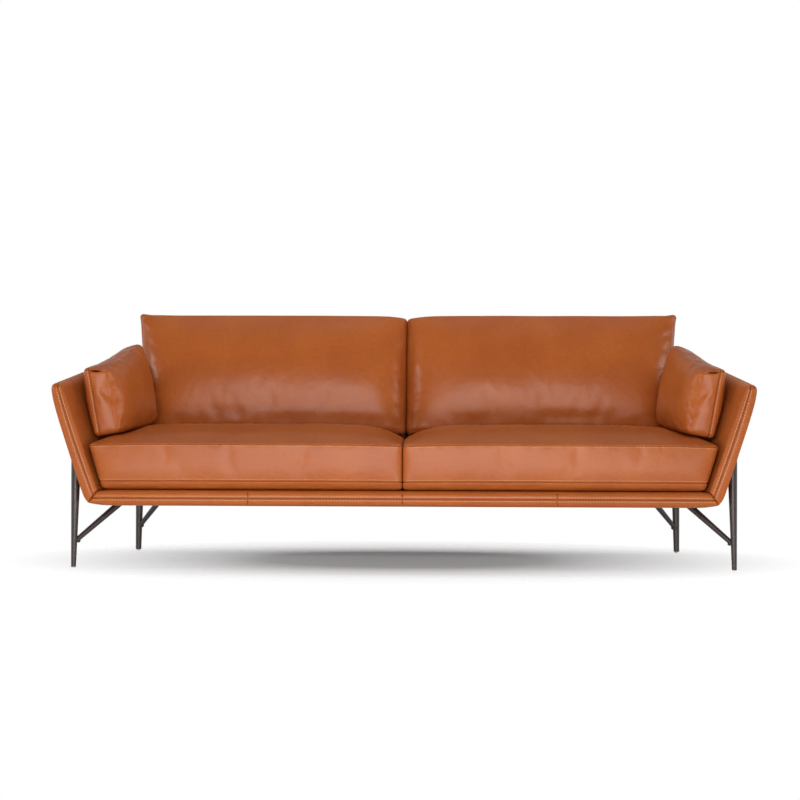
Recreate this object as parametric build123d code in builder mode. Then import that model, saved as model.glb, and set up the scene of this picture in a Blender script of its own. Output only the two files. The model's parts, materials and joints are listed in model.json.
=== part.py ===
"""Two-seat-cushion leather sofa: a padded shell of leaning, splayed walls on braced steel legs.

The frame is +X to the right as seen from the front, +Y to the back, +Z up, with the origin
on the floor under the middle of the sofa. Lengths are millimetres, angles degrees.
Depths are measured back from the front edge of the arms. Pieces that come in pairs are
modelled on the +X side and mirrored.
"""

import os
from math import radians, tan

from build123d import *

os.makedirs("parts", exist_ok=True)

# Shell: overall form
DEPTH = 920.0  # front of the arms to the top of the back
UNDERSIDE = 212.0  # floor to the underside of the shell
BASE = 52.0  # underside to the deck under the seat cushions
UNDERSIDE_WIDTH = 2078.0  # across the underside, at the front
ARM_HEIGHT = 621.0  # top of the arm at its front
BACK_HEIGHT = 746.0  # top of the back wall
ARM_LEAN = 18.0
ARM_SPLAY = 7.9
BACK_LEAN = 12.5
ARM_FOOT = 54.0  # arm wall across X, at the underside
ARM_CREST = 46.0  # arm wall across X, at the front height
BACK_FOOT = 52.0
BACK_CREST = 46.0
COVER = 5.0  # leather with its wadding
EDGE_RADIUS = 16.0
FIT = 0.3  # clearance of a soft piece from what it lies on

# Timber frame inside the shell
FRAME_COVERED = 12.0  # outer face of the wall to the frame
BOARD = 18.0
POST_WIDTH = 70.0
FRONT_POST_DEPTH = 45.0
REAR_POST_LAP = 14.0  # rear post ahead of the back wall's inner foot
RAIL_TALL = 50.0
CREST_COVERED = 25.0  # arm and back crest to the top rails
FOOT_COVERED = 8.0  # underside to the bottom rails
PANEL = 3.0  # hardboard skin on the arm frame
DECK_LAYERS = 12.0  # base rails to the deck
BASE_RAIL_WIDE = 45.0
FRONT_RAIL_DEPTH = 34.0
RAIL_SETBACK = 5.0  # inner foot lines of the arms and back to the base rails
CENTER_RAIL_TALL = 22.0
CENTER_RAIL_WIDE = 60.0
BLOCK_LEG = 60.0
BLOCK_TALL = 26.0
BLOCK_RAISED = 4.0
BACK_POST_INSET = 165.0  # arm's inner foot line to the back's side posts

# Deck and front border
BORDER_LEATHER = 4.0
BORDER_TOP_LIP = 130.0
BORDER_LOW_LIP = 60.0
DUST_COVER = 2.0
STRAP = 2.5
STRAP_WIDE = 60.0
SEAT_STRAPS = 12
BACK_STRAPS = 10
STRAP_LAP = 1 / 3  # how far a strap runs down a rail, as a share of its height
STRAP_MARGIN = 35.0  # side rail or corner to the outermost strap

# Legs
LEG_OUTSET = 66.0  # underside edge to the leg's axis at the floor
FRONT_LEG_DEPTH = 80.0
REAR_LEG_LEAD = 26.0  # rear leg ahead of the back wall's outer foot
FRONT_LEG_FOOT = 8.2  # radius of a front leg at its foot
REAR_LEG_FOOT = 10.3
LEG_HEAD_RADIUS = 19.0
LEG_RISE = 264.0  # underside to the taper's top, before it is cut to the arm
GLIDE = 5.0
GLIDE_RADIUS = 6.0
SPIGOT_RADIUS = 3.0
SPIGOT_LENGTH = 9.0
BRACE_DROP = 127.0  # underside to where a brace leaves its leg
BRACE_ALONG = 96.0
BRACE_INSET = 4.0  # arm's inner foot line to the brace's head
BRACE_FOOT_RADIUS = 8.0
BRACE_HEAD_RADIUS = 11.5
PLATE = 4.0
PLATE_LONG = 98.0
PLATE_WIDE = 46.0
PLATE_CORNER = 8.0
SCREW_PITCH = 74.0
SCREW_RADIUS = 2.5
SCREW_HEAD_RADIUS = 4.8
SCREW_LENGTH = 20.0
LEG_BOLT_RISES = (154.0, 178.0)  # above the underside
BOLT_RADIUS = 4.0
BOLT_HEAD_RADIUS = 7.0
BOLT_HEAD = 4.0
LEG_BOLT_BITE = 9.0
DRILL_FIT = 0.2  # radial clearance of screws, bolts and dowels

# Frame bolts and dowels
HOLE_END = 1.0  # room past the end of a bolt or spigot
ARM_BOLTS = 3
ARM_BOLT_END = 120.0  # side rail's end to the first bolt
ARM_BOLT_LENGTH = 92.0
BACK_BOLT_INSETS = (133.0, 583.0)  # in from the arm's inner foot line, at the rear rail
BACK_BOLT_LENGTH = 90.0
DOWEL_RADIUS = 5.0
DOWEL_HALF = 30.0
DOWEL_PITCH = 24.0

# Seat cushions
CUSHION_COVER = 12.0  # leather with the fibre wrap sewn to it
CORE_FIT = 0.6
SEAT_GAP = 8.0
SEAT_FRONT = 12.0
SEAT_TUCK = 14.0  # how far the lower band turns under
SEAT_BAND = 32.0
SEAT_BULGE = 6.0
SEAT_SEAM_RISE = 152.0  # deck to the front top seam
SEAT_END_DROP = 6.0
SEAT_END_CROWN_RISE = 166.0
SEAT_CROWN_RISE = 210.0
SEAT_CROWN_DEPTH = 300.0
SEAT_REST_RISE = 187.0  # deck to the front of the slope the back cushion stands on
SEAT_REST_LEAD = 22.0  # how far that slope runs ahead of the back cushion
SEAT_REST_FALL = 0.235  # drop of that slope, per unit of depth
SEAT_TUCK_MIDDLE = (0.35, 0.4)  # shares of the tuck and of the band
SEAT_SEAM_SETBACK = 2.0
SWELL_POWER = 4
SEAT_REAR_LEAN = 32.0
SEAT_SIDE_GAP = 8.0  # cushion's end to the arm, at the deck
SEAT_END_LEAN = 16.5

# Back cushions
BACK_CUSHION_TALL = 412.7
BACK_CUSHION_CREST = 8.0
BACK_FOOT_THICK = 193.0
BACK_HEAD_THICK = 165.0
BACK_BULGE = 44.0
BACK_END_BULGE = 12.0
BACK_END_RECESS = 42.0
BACK_SIDE_GAP = 16.0  # cushion's end to the arm, at its foot
BACK_END_LEAN = 6.4

# Arm pillows
PILLOW_FRONT = 112.0
PILLOW_BACK_GAP = 28.0  # pillow to the back cushion's foot
PILLOW_GUSSET = 80.0
PILLOW_FOOT_OFF = 55.0  # arm's inner face to the pillow's middle, at its foot
PILLOW_HEAD_OFF = 94.0
PILLOW_BULGE = 30.0
PILLOW_INNER_BULGE = 34.0
PILLOW_END_BULGE = 2.0
PILLOW_FOOT_FRONT_RISE = -14.0  # from the front of the seat's rear slope
PILLOW_FOOT_REAR_RISE = 10.0
PILLOW_FRONT_TALL = 237.0
PILLOW_REAR_TALL = 300.0
PILLOW_FOOT_TILT = 22.0  # inner seam above the outer one, along the foot
PILLOW_CORNER = 8.0

# Derived places and slopes
FRONT = -DEPTH / 2
REACH = 4 * max(DEPTH, UNDERSIDE_WIDTH)
SPLAY = tan(radians(ARM_SPLAY))
LEAN = tan(radians(ARM_LEAN))
INNER_LEAN = LEAN + (ARM_FOOT - ARM_CREST) / (ARM_HEIGHT - UNDERSIDE)
BACK_SLOPE = tan(radians(BACK_LEAN))
BACK_INNER_SLOPE = BACK_SLOPE + (BACK_FOOT - BACK_CREST) / (BACK_HEIGHT - UNDERSIDE)
BACK_OUTER_DEPTH = DEPTH - (BACK_HEIGHT - UNDERSIDE) * BACK_SLOPE
BACK_INNER_DEPTH = BACK_OUTER_DEPTH - BACK_FOOT
ARM_RISE = (BACK_HEIGHT - ARM_HEIGHT) / DEPTH
ARM_OUTER_FOOT = UNDERSIDE_WIDTH / 2
ARM_INNER_FOOT = ARM_OUTER_FOOT - ARM_FOOT
DECK = UNDERSIDE + BASE
BASE_RAIL_LOW = UNDERSIDE + BORDER_LEATHER
BASE_RAIL_TOP = DECK - DECK_LAYERS
JOINT_HEIGHT = (BASE_RAIL_LOW + BASE_RAIL_TOP) / 2
CENTER_JOINT_HEIGHT = BASE_RAIL_LOW + CENTER_RAIL_TALL / 2
BLOCK_LOW = BASE_RAIL_LOW + BLOCK_RAISED
REAR_RAIL_DEPTH = BACK_INNER_DEPTH - RAIL_SETBACK - BASE_RAIL_WIDE
REAR_POST_DEPTH = BACK_INNER_DEPTH - REAR_POST_LAP
REAR_LEG_DEPTH = BACK_OUTER_DEPTH - REAR_LEG_LEAD
FRONT_JOINT = FRONT_RAIL_DEPTH + BASE_RAIL_WIDE
SIDE_RAIL_INNER = ARM_INNER_FOOT - RAIL_SETBACK - BASE_RAIL_WIDE
SEAT_REST = DECK + SEAT_REST_RISE
UP = (Align.CENTER, Align.CENTER, Align.MIN)
DOWN = (Align.CENTER, Align.CENTER, Align.MAX)


def place(x, depth, z):
    """A point given by its depth behind the arms' front edge."""
    return Vector(x, FRONT + depth, z)


def arm_inner_x(depth, z):
    """X of the arm's inner face."""
    return ARM_INNER_FOOT - SPLAY * depth + INNER_LEAN * (z - UNDERSIDE)


def back_inner_depth(z):
    """Depth of the back wall's inner face."""
    return BACK_INNER_DEPTH + BACK_INNER_SLOPE * (z - UNDERSIDE)


def level(z):
    return Plane(origin=(0, 0, z), z_dir=(0, 0, 1))


def station(depth):
    return Plane(origin=(0, FRONT + depth, 0), z_dir=(0, 1, 0))


def across(x):
    return Plane(origin=(x, 0, 0), z_dir=(1, 0, 0))


def rear_corner(z, arm_foot, arm_slope, back_foot, back_slope):
    """Where an arm face and a back face meet at a height."""
    depth = back_foot + (z - UNDERSIDE) * back_slope
    return place(arm_foot - SPLAY * depth + (z - UNDERSIDE) * arm_slope, depth, z)


# Planes that bound the walls, each facing out of its wall
ARM_OUTER = Plane(origin=(ARM_OUTER_FOOT, FRONT, UNDERSIDE), z_dir=(1, SPLAY, -LEAN))
ARM_INNER = Plane(origin=(ARM_INNER_FOOT, FRONT, UNDERSIDE), z_dir=(-1, -SPLAY, INNER_LEAN))
ARM_TOP = Plane(origin=(0, FRONT, ARM_HEIGHT), z_dir=(0, -ARM_RISE, 1))
BACK_OUTER = Plane(origin=place(0, BACK_OUTER_DEPTH, UNDERSIDE), z_dir=(0, 1, -BACK_SLOPE))
BACK_INNER = Plane(origin=place(0, BACK_INNER_DEPTH, UNDERSIDE), z_dir=(0, -1, BACK_INNER_SLOPE))
OUTER_LOW = rear_corner(UNDERSIDE, ARM_OUTER_FOOT, LEAN, BACK_OUTER_DEPTH, BACK_SLOPE)
OUTER_HIGH = rear_corner(BACK_HEIGHT, ARM_OUTER_FOOT, LEAN, BACK_OUTER_DEPTH, BACK_SLOPE)
INNER_LOW = rear_corner(UNDERSIDE, ARM_INNER_FOOT, INNER_LEAN, BACK_INNER_DEPTH, BACK_INNER_SLOPE)
MITRE = Plane(origin=OUTER_LOW, z_dir=(OUTER_HIGH - OUTER_LOW).cross(INNER_LOW - OUTER_LOW))
MITRE = MITRE if MITRE.z_dir.Y > 0 else -MITRE
LEFT_MITRE = Plane(
    origin=(-OUTER_LOW.X, OUTER_LOW.Y, OUTER_LOW.Z),
    z_dir=(-MITRE.z_dir.X, MITRE.z_dir.Y, MITRE.z_dir.Z),
)
LEFT_ARM_INNER = Plane(origin=(-ARM_INNER_FOOT, FRONT, UNDERSIDE), z_dir=(1, -SPLAY, INNER_LEAN))


def trim(*faces):
    """Cuts the open part back to the inner side of outward-facing planes."""
    for face in faces:
        split(bisect_by=face, keep=Keep.BOTTOM)


def board(*faces):
    """A solid bounded only by planes."""
    with BuildPart() as solid:
        Box(REACH, REACH, REACH)
        trim(*faces)
    return solid


def save(piece, name):
    piece.part.label = name
    export_step(piece.part, f"parts/{name}.step")


def save_pair(piece, name):
    """Writes a right-hand piece and its mirror image."""
    save(piece, f"{name}_right")
    with BuildPart() as mirrored:
        add(mirror(piece.part, about=Plane.YZ, mode=Mode.PRIVATE))
    save(mirrored, f"{name}_left")


def drill(axes, radius, length):
    """Cuts round holes from each plane's origin along its normal."""
    with Locations(*axes):
        Cylinder(radius, length, align=UP, mode=Mode.SUBTRACT)


# Fastener axes
def leg_x(depth):
    return ARM_OUTER_FOOT + LEG_OUTSET - SPLAY * depth


def brace_head(depth, along):
    """Centre of a brace plate, on the shell's underside."""
    far = depth + along
    return place(ARM_INNER_FOOT - BRACE_INSET - SPLAY * far, far, UNDERSIDE)


BRACES = {"front": (FRONT_LEG_DEPTH, BRACE_ALONG), "rear": (REAR_LEG_DEPTH, -BRACE_ALONG)}
LEGS = {name: depth for name, (depth, along) in BRACES.items()}
PLATE_CENTERS = [brace_head(*run) for run in BRACES.values()]
SCREW_AXES = [
    Plane(origin=(c.X + side * SCREW_PITCH / 2, c.Y, UNDERSIDE - PLATE))
    for c in PLATE_CENTERS
    for side in (-1, 1)
]
LEG_BOLT_HEAD_IN = FRAME_COVERED + BOARD + PANEL
LEG_BOLT_AXES = [
    Plane(
        origin=place(ARM_OUTER_FOOT - SPLAY * depth + LEAN * (z - UNDERSIDE), depth, z),
        z_dir=ARM_OUTER.z_dir,
    ).offset(-LEG_BOLT_HEAD_IN)
    for depth in LEGS.values()
    for z in [UNDERSIDE + rise for rise in LEG_BOLT_RISES]
]
ARM_BOLT_PITCH = (REAR_RAIL_DEPTH - FRONT_JOINT - 2 * ARM_BOLT_END) / (ARM_BOLTS - 1)
ARM_BOLT_DEPTHS = [FRONT_JOINT + ARM_BOLT_END + i * ARM_BOLT_PITCH for i in range(ARM_BOLTS)]
ARM_BOLT_AXES = [
    Plane(origin=place(SIDE_RAIL_INNER - SPLAY * depth, depth, JOINT_HEIGHT), z_dir=(1, SPLAY, 0))
    for depth in ARM_BOLT_DEPTHS
]
BACK_BOLT_AXES = [
    Plane(origin=place(side * x, REAR_RAIL_DEPTH, JOINT_HEIGHT), z_dir=(0, 1, 0))
    for x in [ARM_INNER_FOOT - SPLAY * REAR_RAIL_DEPTH - inset for inset in BACK_BOLT_INSETS]
    for side in (-1, 1)
]
SIDE_DOWEL_AXES = [
    Plane(
        origin=place(
            ARM_INNER_FOOT - RAIL_SETBACK - BASE_RAIL_WIDE / 2 - SPLAY * depth + off,
            depth - DOWEL_HALF,
            JOINT_HEIGHT,
        ),
        z_dir=(0, 1, 0),
    )
    for depth in (FRONT_JOINT, REAR_RAIL_DEPTH)
    for off in (-DOWEL_PITCH / 2, DOWEL_PITCH / 2)
]
CENTER_DOWEL_AXES = [
    Plane(origin=place(off, depth - DOWEL_HALF, CENTER_JOINT_HEIGHT), z_dir=(0, 1, 0))
    for depth in (FRONT_JOINT, REAR_RAIL_DEPTH)
    for off in (-DOWEL_PITCH / 2, DOWEL_PITCH / 2)
]


def mirrored_axes(axes):
    return [
        Plane(origin=(-a.origin.X, a.origin.Y, a.origin.Z), z_dir=(-a.z_dir.X, a.z_dir.Y, a.z_dir.Z))
        for a in axes
    ]


def drill_dowels(axes):
    drill(axes, DOWEL_RADIUS + DRILL_FIT, 2 * DOWEL_HALF)


def drill_bolts(axes, length):
    drill(axes, BOLT_RADIUS + DRILL_FIT, length)


def drill_screws():
    drill(SCREW_AXES, SCREW_RADIUS + DRILL_FIT, SCREW_LENGTH)


def drill_leg_bolts():
    drill_bolts(LEG_BOLT_AXES, LEG_BOLT_HEAD_IN + LEG_BOLT_BITE)


# Base rails
def cross_outline(depth_a, depth_b):
    """Plan of a piece that runs across between the arms, from one depth to another."""
    outer = ARM_INNER_FOOT - RAIL_SETBACK
    corners = [(depth_a, 1), (depth_a, -1), (depth_b, -1), (depth_b, 1)]
    return [(side * (outer - SPLAY * depth), FRONT + depth) for depth, side in corners]


def side_outline(depth_a, depth_b):
    """Plan of a side rail beside the right arm, from one depth to another."""
    outer = ARM_INNER_FOOT - RAIL_SETBACK
    inner = outer - BASE_RAIL_WIDE
    corners = [(outer, depth_a), (outer, depth_b), (inner, depth_b), (inner, depth_a)]
    return [(x - SPLAY * depth, FRONT + depth) for x, depth in corners]


with BuildPart() as front_rail:
    with BuildSketch(Plane.XY.offset(BASE_RAIL_LOW)):
        Polygon(*cross_outline(FRONT_RAIL_DEPTH, FRONT_JOINT), align=None)
    extrude(amount=BASE_RAIL_TOP - BASE_RAIL_LOW)
    drill_dowels(SIDE_DOWEL_AXES + mirrored_axes(SIDE_DOWEL_AXES) + CENTER_DOWEL_AXES)
save(front_rail, "front_rail")

with BuildPart() as rear_rail:
    with BuildSketch(Plane.XY.offset(BASE_RAIL_LOW)):
        Polygon(
            *cross_outline(REAR_RAIL_DEPTH, REAR_RAIL_DEPTH + BASE_RAIL_WIDE), align=None
        )
    extrude(amount=BASE_RAIL_TOP - BASE_RAIL_LOW)
    drill_dowels(SIDE_DOWEL_AXES + mirrored_axes(SIDE_DOWEL_AXES) + CENTER_DOWEL_AXES)
    drill_bolts(BACK_BOLT_AXES, BACK_BOLT_LENGTH)
save(rear_rail, "rear_rail")

with BuildPart() as side_rail:
    with BuildSketch(Plane.XY.offset(BASE_RAIL_LOW)):
        Polygon(*side_outline(FRONT_JOINT, REAR_RAIL_DEPTH), align=None)
    extrude(amount=BASE_RAIL_TOP - BASE_RAIL_LOW)
    drill_dowels(SIDE_DOWEL_AXES)
    drill_bolts(ARM_BOLT_AXES, ARM_BOLT_LENGTH)
    drill_screws()
save_pair(side_rail, "side_rail")

with BuildPart() as center_rail:
    with BuildSketch(Plane.XY.offset(BASE_RAIL_LOW)):
        with Locations((0, FRONT + FRONT_JOINT)):
            Rectangle(
                CENTER_RAIL_WIDE,
                REAR_RAIL_DEPTH - FRONT_JOINT,
                align=(Align.CENTER, Align.MIN),
            )
    extrude(amount=CENTER_RAIL_TALL)
    drill_dowels(CENTER_DOWEL_AXES)
save(center_rail, "center_rail")

with BuildPart() as corner_blocks:
    with BuildSketch(Plane.XY.offset(BLOCK_LOW)):
        for depth, step in ((FRONT_JOINT, 1), (REAR_RAIL_DEPTH, -1)):
            for side in (-1, 1):
                inner = SIDE_RAIL_INNER - SPLAY * depth
                Polygon(
                    (side * inner, FRONT + depth),
                    (side * (inner - BLOCK_LEG), FRONT + depth),
                    (side * (inner - step * SPLAY * BLOCK_LEG), FRONT + depth + step * BLOCK_LEG),
                    align=None,
                )
    extrude(amount=BLOCK_TALL)
save(corner_blocks, "corner_blocks")

with BuildPart() as frame_dowels:
    with Locations(*SIDE_DOWEL_AXES, *mirrored_axes(SIDE_DOWEL_AXES), *CENTER_DOWEL_AXES):
        Cylinder(DOWEL_RADIUS, 2 * DOWEL_HALF, align=UP)
save(frame_dowels, "frame_dowels")

with BuildPart() as frame_bolts:
    for axes, length in (
        (ARM_BOLT_AXES + mirrored_axes(ARM_BOLT_AXES), ARM_BOLT_LENGTH),
        (BACK_BOLT_AXES, BACK_BOLT_LENGTH),
    ):
        with Locations(*axes):
            Cylinder(BOLT_RADIUS, length, align=UP)
            Cylinder(BOLT_HEAD_RADIUS, BOLT_HEAD, align=DOWN)
save(frame_bolts, "frame_bolts")

# Arm frames
BOARD_OUT = ARM_OUTER.offset(-FRAME_COVERED)
BOARD_IN = -ARM_OUTER.offset(-FRAME_COVERED - BOARD)
ARM_RAIL_TOP = ARM_TOP.offset(-CREST_COVERED)
FOOT = -level(UNDERSIDE + FOOT_COVERED)
FRONT_POST_BACK = FRONT_POST_DEPTH + POST_WIDTH
ARM_CORNER = MITRE.offset(-COVER - FIT)

arm_front_post = board(
    BOARD_OUT, BOARD_IN, -station(FRONT_POST_DEPTH), station(FRONT_POST_BACK), ARM_RAIL_TOP, FOOT
)
with arm_front_post:
    drill_leg_bolts()
save_pair(arm_front_post, "arm_front_post")

arm_rear_post = board(
    BOARD_OUT, BOARD_IN, -station(REAR_POST_DEPTH), ARM_CORNER, ARM_RAIL_TOP, FOOT
)
with arm_rear_post:
    drill_leg_bolts()
save_pair(arm_rear_post, "arm_rear_post")

arm_top_rail = board(
    BOARD_OUT,
    BOARD_IN,
    -station(FRONT_POST_BACK),
    station(REAR_POST_DEPTH),
    ARM_RAIL_TOP,
    -ARM_RAIL_TOP.offset(-RAIL_TALL),
)
save_pair(arm_top_rail, "arm_top_rail")

arm_bottom_rail = board(
    BOARD_OUT,
    BOARD_IN,
    -station(FRONT_POST_BACK),
    station(REAR_POST_DEPTH),
    level(UNDERSIDE + FOOT_COVERED + RAIL_TALL),
    FOOT,
)
with arm_bottom_rail:
    drill_bolts(ARM_BOLT_AXES, ARM_BOLT_LENGTH)
    drill_screws()
save_pair(arm_bottom_rail, "arm_bottom_rail")

PANEL_FOOT = UNDERSIDE + FOOT_COVERED + RAIL_TALL / 2 + BOLT_HEAD_RADIUS
arm_panel = board(
    -BOARD_IN,
    -ARM_OUTER.offset(-FRAME_COVERED - BOARD - PANEL),
    -station(FRONT_POST_DEPTH),
    ARM_CORNER,
    ARM_RAIL_TOP,
    -level(PANEL_FOOT),
)
with arm_panel:
    drill_leg_bolts()
save_pair(arm_panel, "arm_panel")


# Arm foam and leather
def arm_form(inset):
    """The arm wall, set in from its outer faces, with its free edges rounded."""
    with BuildPart() as form:
        add(
            board(
                *[
                    face.offset(-inset)
                    for face in (
                        ARM_OUTER,
                        ARM_INNER,
                        ARM_TOP,
                        -level(UNDERSIDE),
                        -station(0),
                        MITRE,
                    )
                ]
            ).part
        )
        free = [
            e for e in form.edges() if abs(MITRE.to_local_coords(e.center()).Z + inset) > EDGE_RADIUS
        ]
        fillet(free, EDGE_RADIUS - inset)
    return form


def cut_arm_fasteners():
    drill_leg_bolts()
    drill(
        [axis.offset(-BOLT_HEAD) for axis in LEG_BOLT_AXES], BOLT_HEAD_RADIUS + DRILL_FIT, BOLT_HEAD
    )
    drill_bolts(ARM_BOLT_AXES, ARM_BOLT_LENGTH)
    drill_screws()


arm_cover = arm_form(0)
with arm_cover:
    add(arm_form(COVER).part, mode=Mode.SUBTRACT)
    cut_arm_fasteners()
save_pair(arm_cover, "arm_cover")

arm_foam = arm_form(COVER + FIT)
with arm_foam:
    for inside in (arm_front_post, arm_rear_post, arm_top_rail, arm_bottom_rail, arm_panel):
        add(inside.part, mode=Mode.SUBTRACT)
    cut_arm_fasteners()
save_pair(arm_foam, "arm_foam")

# Back frame
BACK_BOARD_OUT = BACK_OUTER.offset(-FRAME_COVERED)
BACK_BOARD_IN = -BACK_OUTER.offset(-FRAME_COVERED - BOARD)
BACK_ENDS = (-MITRE.offset(COVER + FIT), -LEFT_MITRE.offset(COVER + FIT))
BACK_TOP_RAIL = BACK_HEIGHT - CREST_COVERED
BACK_LOW_RAIL = UNDERSIDE + FOOT_COVERED + RAIL_TALL

back_top_rail = board(
    BACK_BOARD_OUT,
    BACK_BOARD_IN,
    level(BACK_TOP_RAIL),
    -level(BACK_TOP_RAIL - RAIL_TALL),
    *BACK_ENDS,
)
save(back_top_rail, "back_top_rail")

back_bottom_rail = board(BACK_BOARD_OUT, BACK_BOARD_IN, level(BACK_LOW_RAIL), FOOT, *BACK_ENDS)
with back_bottom_rail:
    drill_bolts(BACK_BOLT_AXES, BACK_BOLT_LENGTH)
save(back_bottom_rail, "back_bottom_rail")


def back_post(x):
    return board(
        BACK_BOARD_OUT,
        BACK_BOARD_IN,
        -across(x - POST_WIDTH / 2),
        across(x + POST_WIDTH / 2),
        level(BACK_TOP_RAIL - RAIL_TALL),
        -level(BACK_LOW_RAIL),
    )


back_center_post = back_post(0)
save(back_center_post, "back_center_post")
BACK_POST_X = ARM_INNER_FOOT - BACK_POST_INSET
back_side_post = back_post(BACK_POST_X)
save_pair(back_side_post, "back_side_post")
back_left_post = back_post(-BACK_POST_X)


def back_strap(x):
    """One elastic strap, laid on the inner face of the back's top and bottom rails."""
    return board(
        -BACK_BOARD_IN,
        -BACK_OUTER.offset(-FRAME_COVERED - BOARD - STRAP),
        -across(x - STRAP_WIDE / 2),
        across(x + STRAP_WIDE / 2),
        level(BACK_TOP_RAIL - STRAP),
        -level(BACK_LOW_RAIL - RAIL_TALL * STRAP_LAP),
    )


STRAP_SPAN = ARM_INNER_FOOT - SPLAY * BACK_OUTER_DEPTH - RAIL_SETBACK - STRAP_MARGIN - STRAP_WIDE / 2
with BuildPart() as back_webbing:
    for i in range(BACK_STRAPS):
        add(back_strap(STRAP_SPAN * (2 * i / (BACK_STRAPS - 1) - 1)).part)
save(back_webbing, "back_webbing")


# Back foam and leather
def back_form(inset):
    """The back wall between the two mitres, set in from its outer faces."""
    with BuildPart() as form:
        add(
            board(
                *[
                    face.offset(-inset)
                    for face in (
                        BACK_OUTER,
                        BACK_INNER,
                        level(BACK_HEIGHT),
                        -level(UNDERSIDE),
                        -MITRE,
                        -LEFT_MITRE,
                    )
                ]
            ).part
        )
        fillet(form.edges().filter_by(Axis.X), EDGE_RADIUS - inset)
    return form


back_cover = back_form(0)
with back_cover:
    add(back_form(COVER).part, mode=Mode.SUBTRACT)
    drill_bolts(BACK_BOLT_AXES, BACK_BOLT_LENGTH)
save(back_cover, "back_cover")

back_foam = back_form(COVER + FIT)
with back_foam:
    for inside in (
        back_top_rail,
        back_bottom_rail,
        back_center_post,
        back_side_post,
        back_left_post,
        back_webbing,
    ):
        add(inside.part, mode=Mode.SUBTRACT)
    drill_bolts(BACK_BOLT_AXES, BACK_BOLT_LENGTH)
save(back_foam, "back_foam")

# Deck, front border and dust cover
ARM_SIDES = (-ARM_INNER, -LEFT_ARM_INNER)

with BuildPart() as border_cover:
    with BuildSketch(Plane.YZ):
        with Locations((FRONT, UNDERSIDE)):
            Rectangle(BORDER_TOP_LIP, DECK - UNDERSIDE, align=Align.MIN)
    extrude(amount=ARM_OUTER_FOOT, both=True)
    fillet(border_cover.edges().filter_by(Axis.X).group_by(Axis.Y)[0], EDGE_RADIUS)
    with BuildSketch(Plane.YZ) as hollow:
        with Locations((FRONT + BORDER_LEATHER, UNDERSIDE + BORDER_LEATHER)):
            Rectangle(BORDER_TOP_LIP, DECK - UNDERSIDE - 2 * BORDER_LEATHER, align=Align.MIN)
        fillet(hollow.vertices().group_by(Axis.X)[0], EDGE_RADIUS - BORDER_LEATHER)
        with Locations((FRONT + BORDER_LOW_LIP, UNDERSIDE)):
            Rectangle(BORDER_TOP_LIP, BORDER_LEATHER, align=Align.MIN)
    extrude(amount=ARM_OUTER_FOOT, both=True, mode=Mode.SUBTRACT)
    trim(*ARM_SIDES)
save(border_cover, "border_cover")

BORDER_IN = BORDER_LEATHER + FIT
with BuildPart() as border_foam:
    with BuildSketch(Plane.YZ):
        with Locations((FRONT + BORDER_IN, UNDERSIDE + BORDER_IN)):
            Rectangle(
                FRONT_RAIL_DEPTH - BORDER_IN, DECK - UNDERSIDE - 2 * BORDER_IN, align=Align.MIN
            )
        with Locations((FRONT + BORDER_IN, BASE_RAIL_TOP + STRAP)):
            Rectangle(
                BORDER_TOP_LIP - BORDER_IN,
                DECK - BORDER_IN - BASE_RAIL_TOP - STRAP,
                align=Align.MIN,
            )
    extrude(amount=ARM_OUTER_FOOT, both=True)
    fillet(border_foam.edges().filter_by(Axis.X).group_by(Axis.Y)[0], EDGE_RADIUS - BORDER_IN)
    trim(*ARM_SIDES)
save(border_foam, "border_foam")

with BuildPart() as deck_pad:
    with BuildSketch(Plane.XY.offset(BASE_RAIL_TOP + STRAP)):
        with Locations((0, FRONT + BORDER_TOP_LIP)):
            Rectangle(
                2 * ARM_OUTER_FOOT,
                back_inner_depth(UNDERSIDE) - BORDER_TOP_LIP,
                align=(Align.CENTER, Align.MIN),
            )
    extrude(amount=DECK - BASE_RAIL_TOP - STRAP)
    trim(*ARM_SIDES)
save(deck_pad, "deck_pad")

SEAT_STRAP_PITCH = 2 * (STRAP_SPAN - BASE_RAIL_WIDE) / (SEAT_STRAPS - 1)
with BuildPart() as seat_webbing:
    with BuildSketch(Plane.XY.offset(BASE_RAIL_TOP)):
        with Locations((0, FRONT + (FRONT_RAIL_DEPTH + REAR_RAIL_DEPTH + BASE_RAIL_WIDE) / 2)):
            with GridLocations(SEAT_STRAP_PITCH, 0, SEAT_STRAPS, 1):
                Rectangle(STRAP_WIDE, REAR_RAIL_DEPTH + BASE_RAIL_WIDE / 2 - FRONT_RAIL_DEPTH)
    extrude(amount=STRAP)
save(seat_webbing, "seat_webbing")

with BuildPart() as dust_cover:
    with BuildSketch(Plane.XY.offset(BASE_RAIL_LOW - DUST_COVER)):
        Polygon(
            *cross_outline(BORDER_LOW_LIP, REAR_RAIL_DEPTH + BASE_RAIL_WIDE), align=None
        )
    extrude(amount=DUST_COVER)
    drill_screws()
    drill(
        mirrored_axes(SCREW_AXES),
        SCREW_RADIUS + DRILL_FIT,
        SCREW_LENGTH,
    )
save(dust_cover, "dust_cover")


# Legs, braces and plates
def make_leg(depth):
    """A leg whose taper keeps its outer side plumb, cut to the arm and bored for its glide."""
    x = leg_x(depth)
    foot = FRONT_LEG_FOOT if depth == FRONT_LEG_DEPTH else REAR_LEG_FOOT
    with BuildPart() as leg:
        with BuildSketch(Plane.XY.offset(GLIDE)):
            with Locations((x, FRONT + depth)):
                Circle(foot)
        with BuildSketch(Plane.XY.offset(UNDERSIDE + LEG_RISE)):
            with Locations((x - LEG_HEAD_RADIUS + foot, FRONT + depth)):
                Circle(LEG_HEAD_RADIUS)
        loft()
        split(bisect_by=ARM_OUTER, keep=Keep.TOP)
        drill_leg_bolts()
        drill([Plane(origin=place(x, depth, GLIDE))], SPIGOT_RADIUS + DRILL_FIT, SPIGOT_LENGTH)
    return leg


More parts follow.
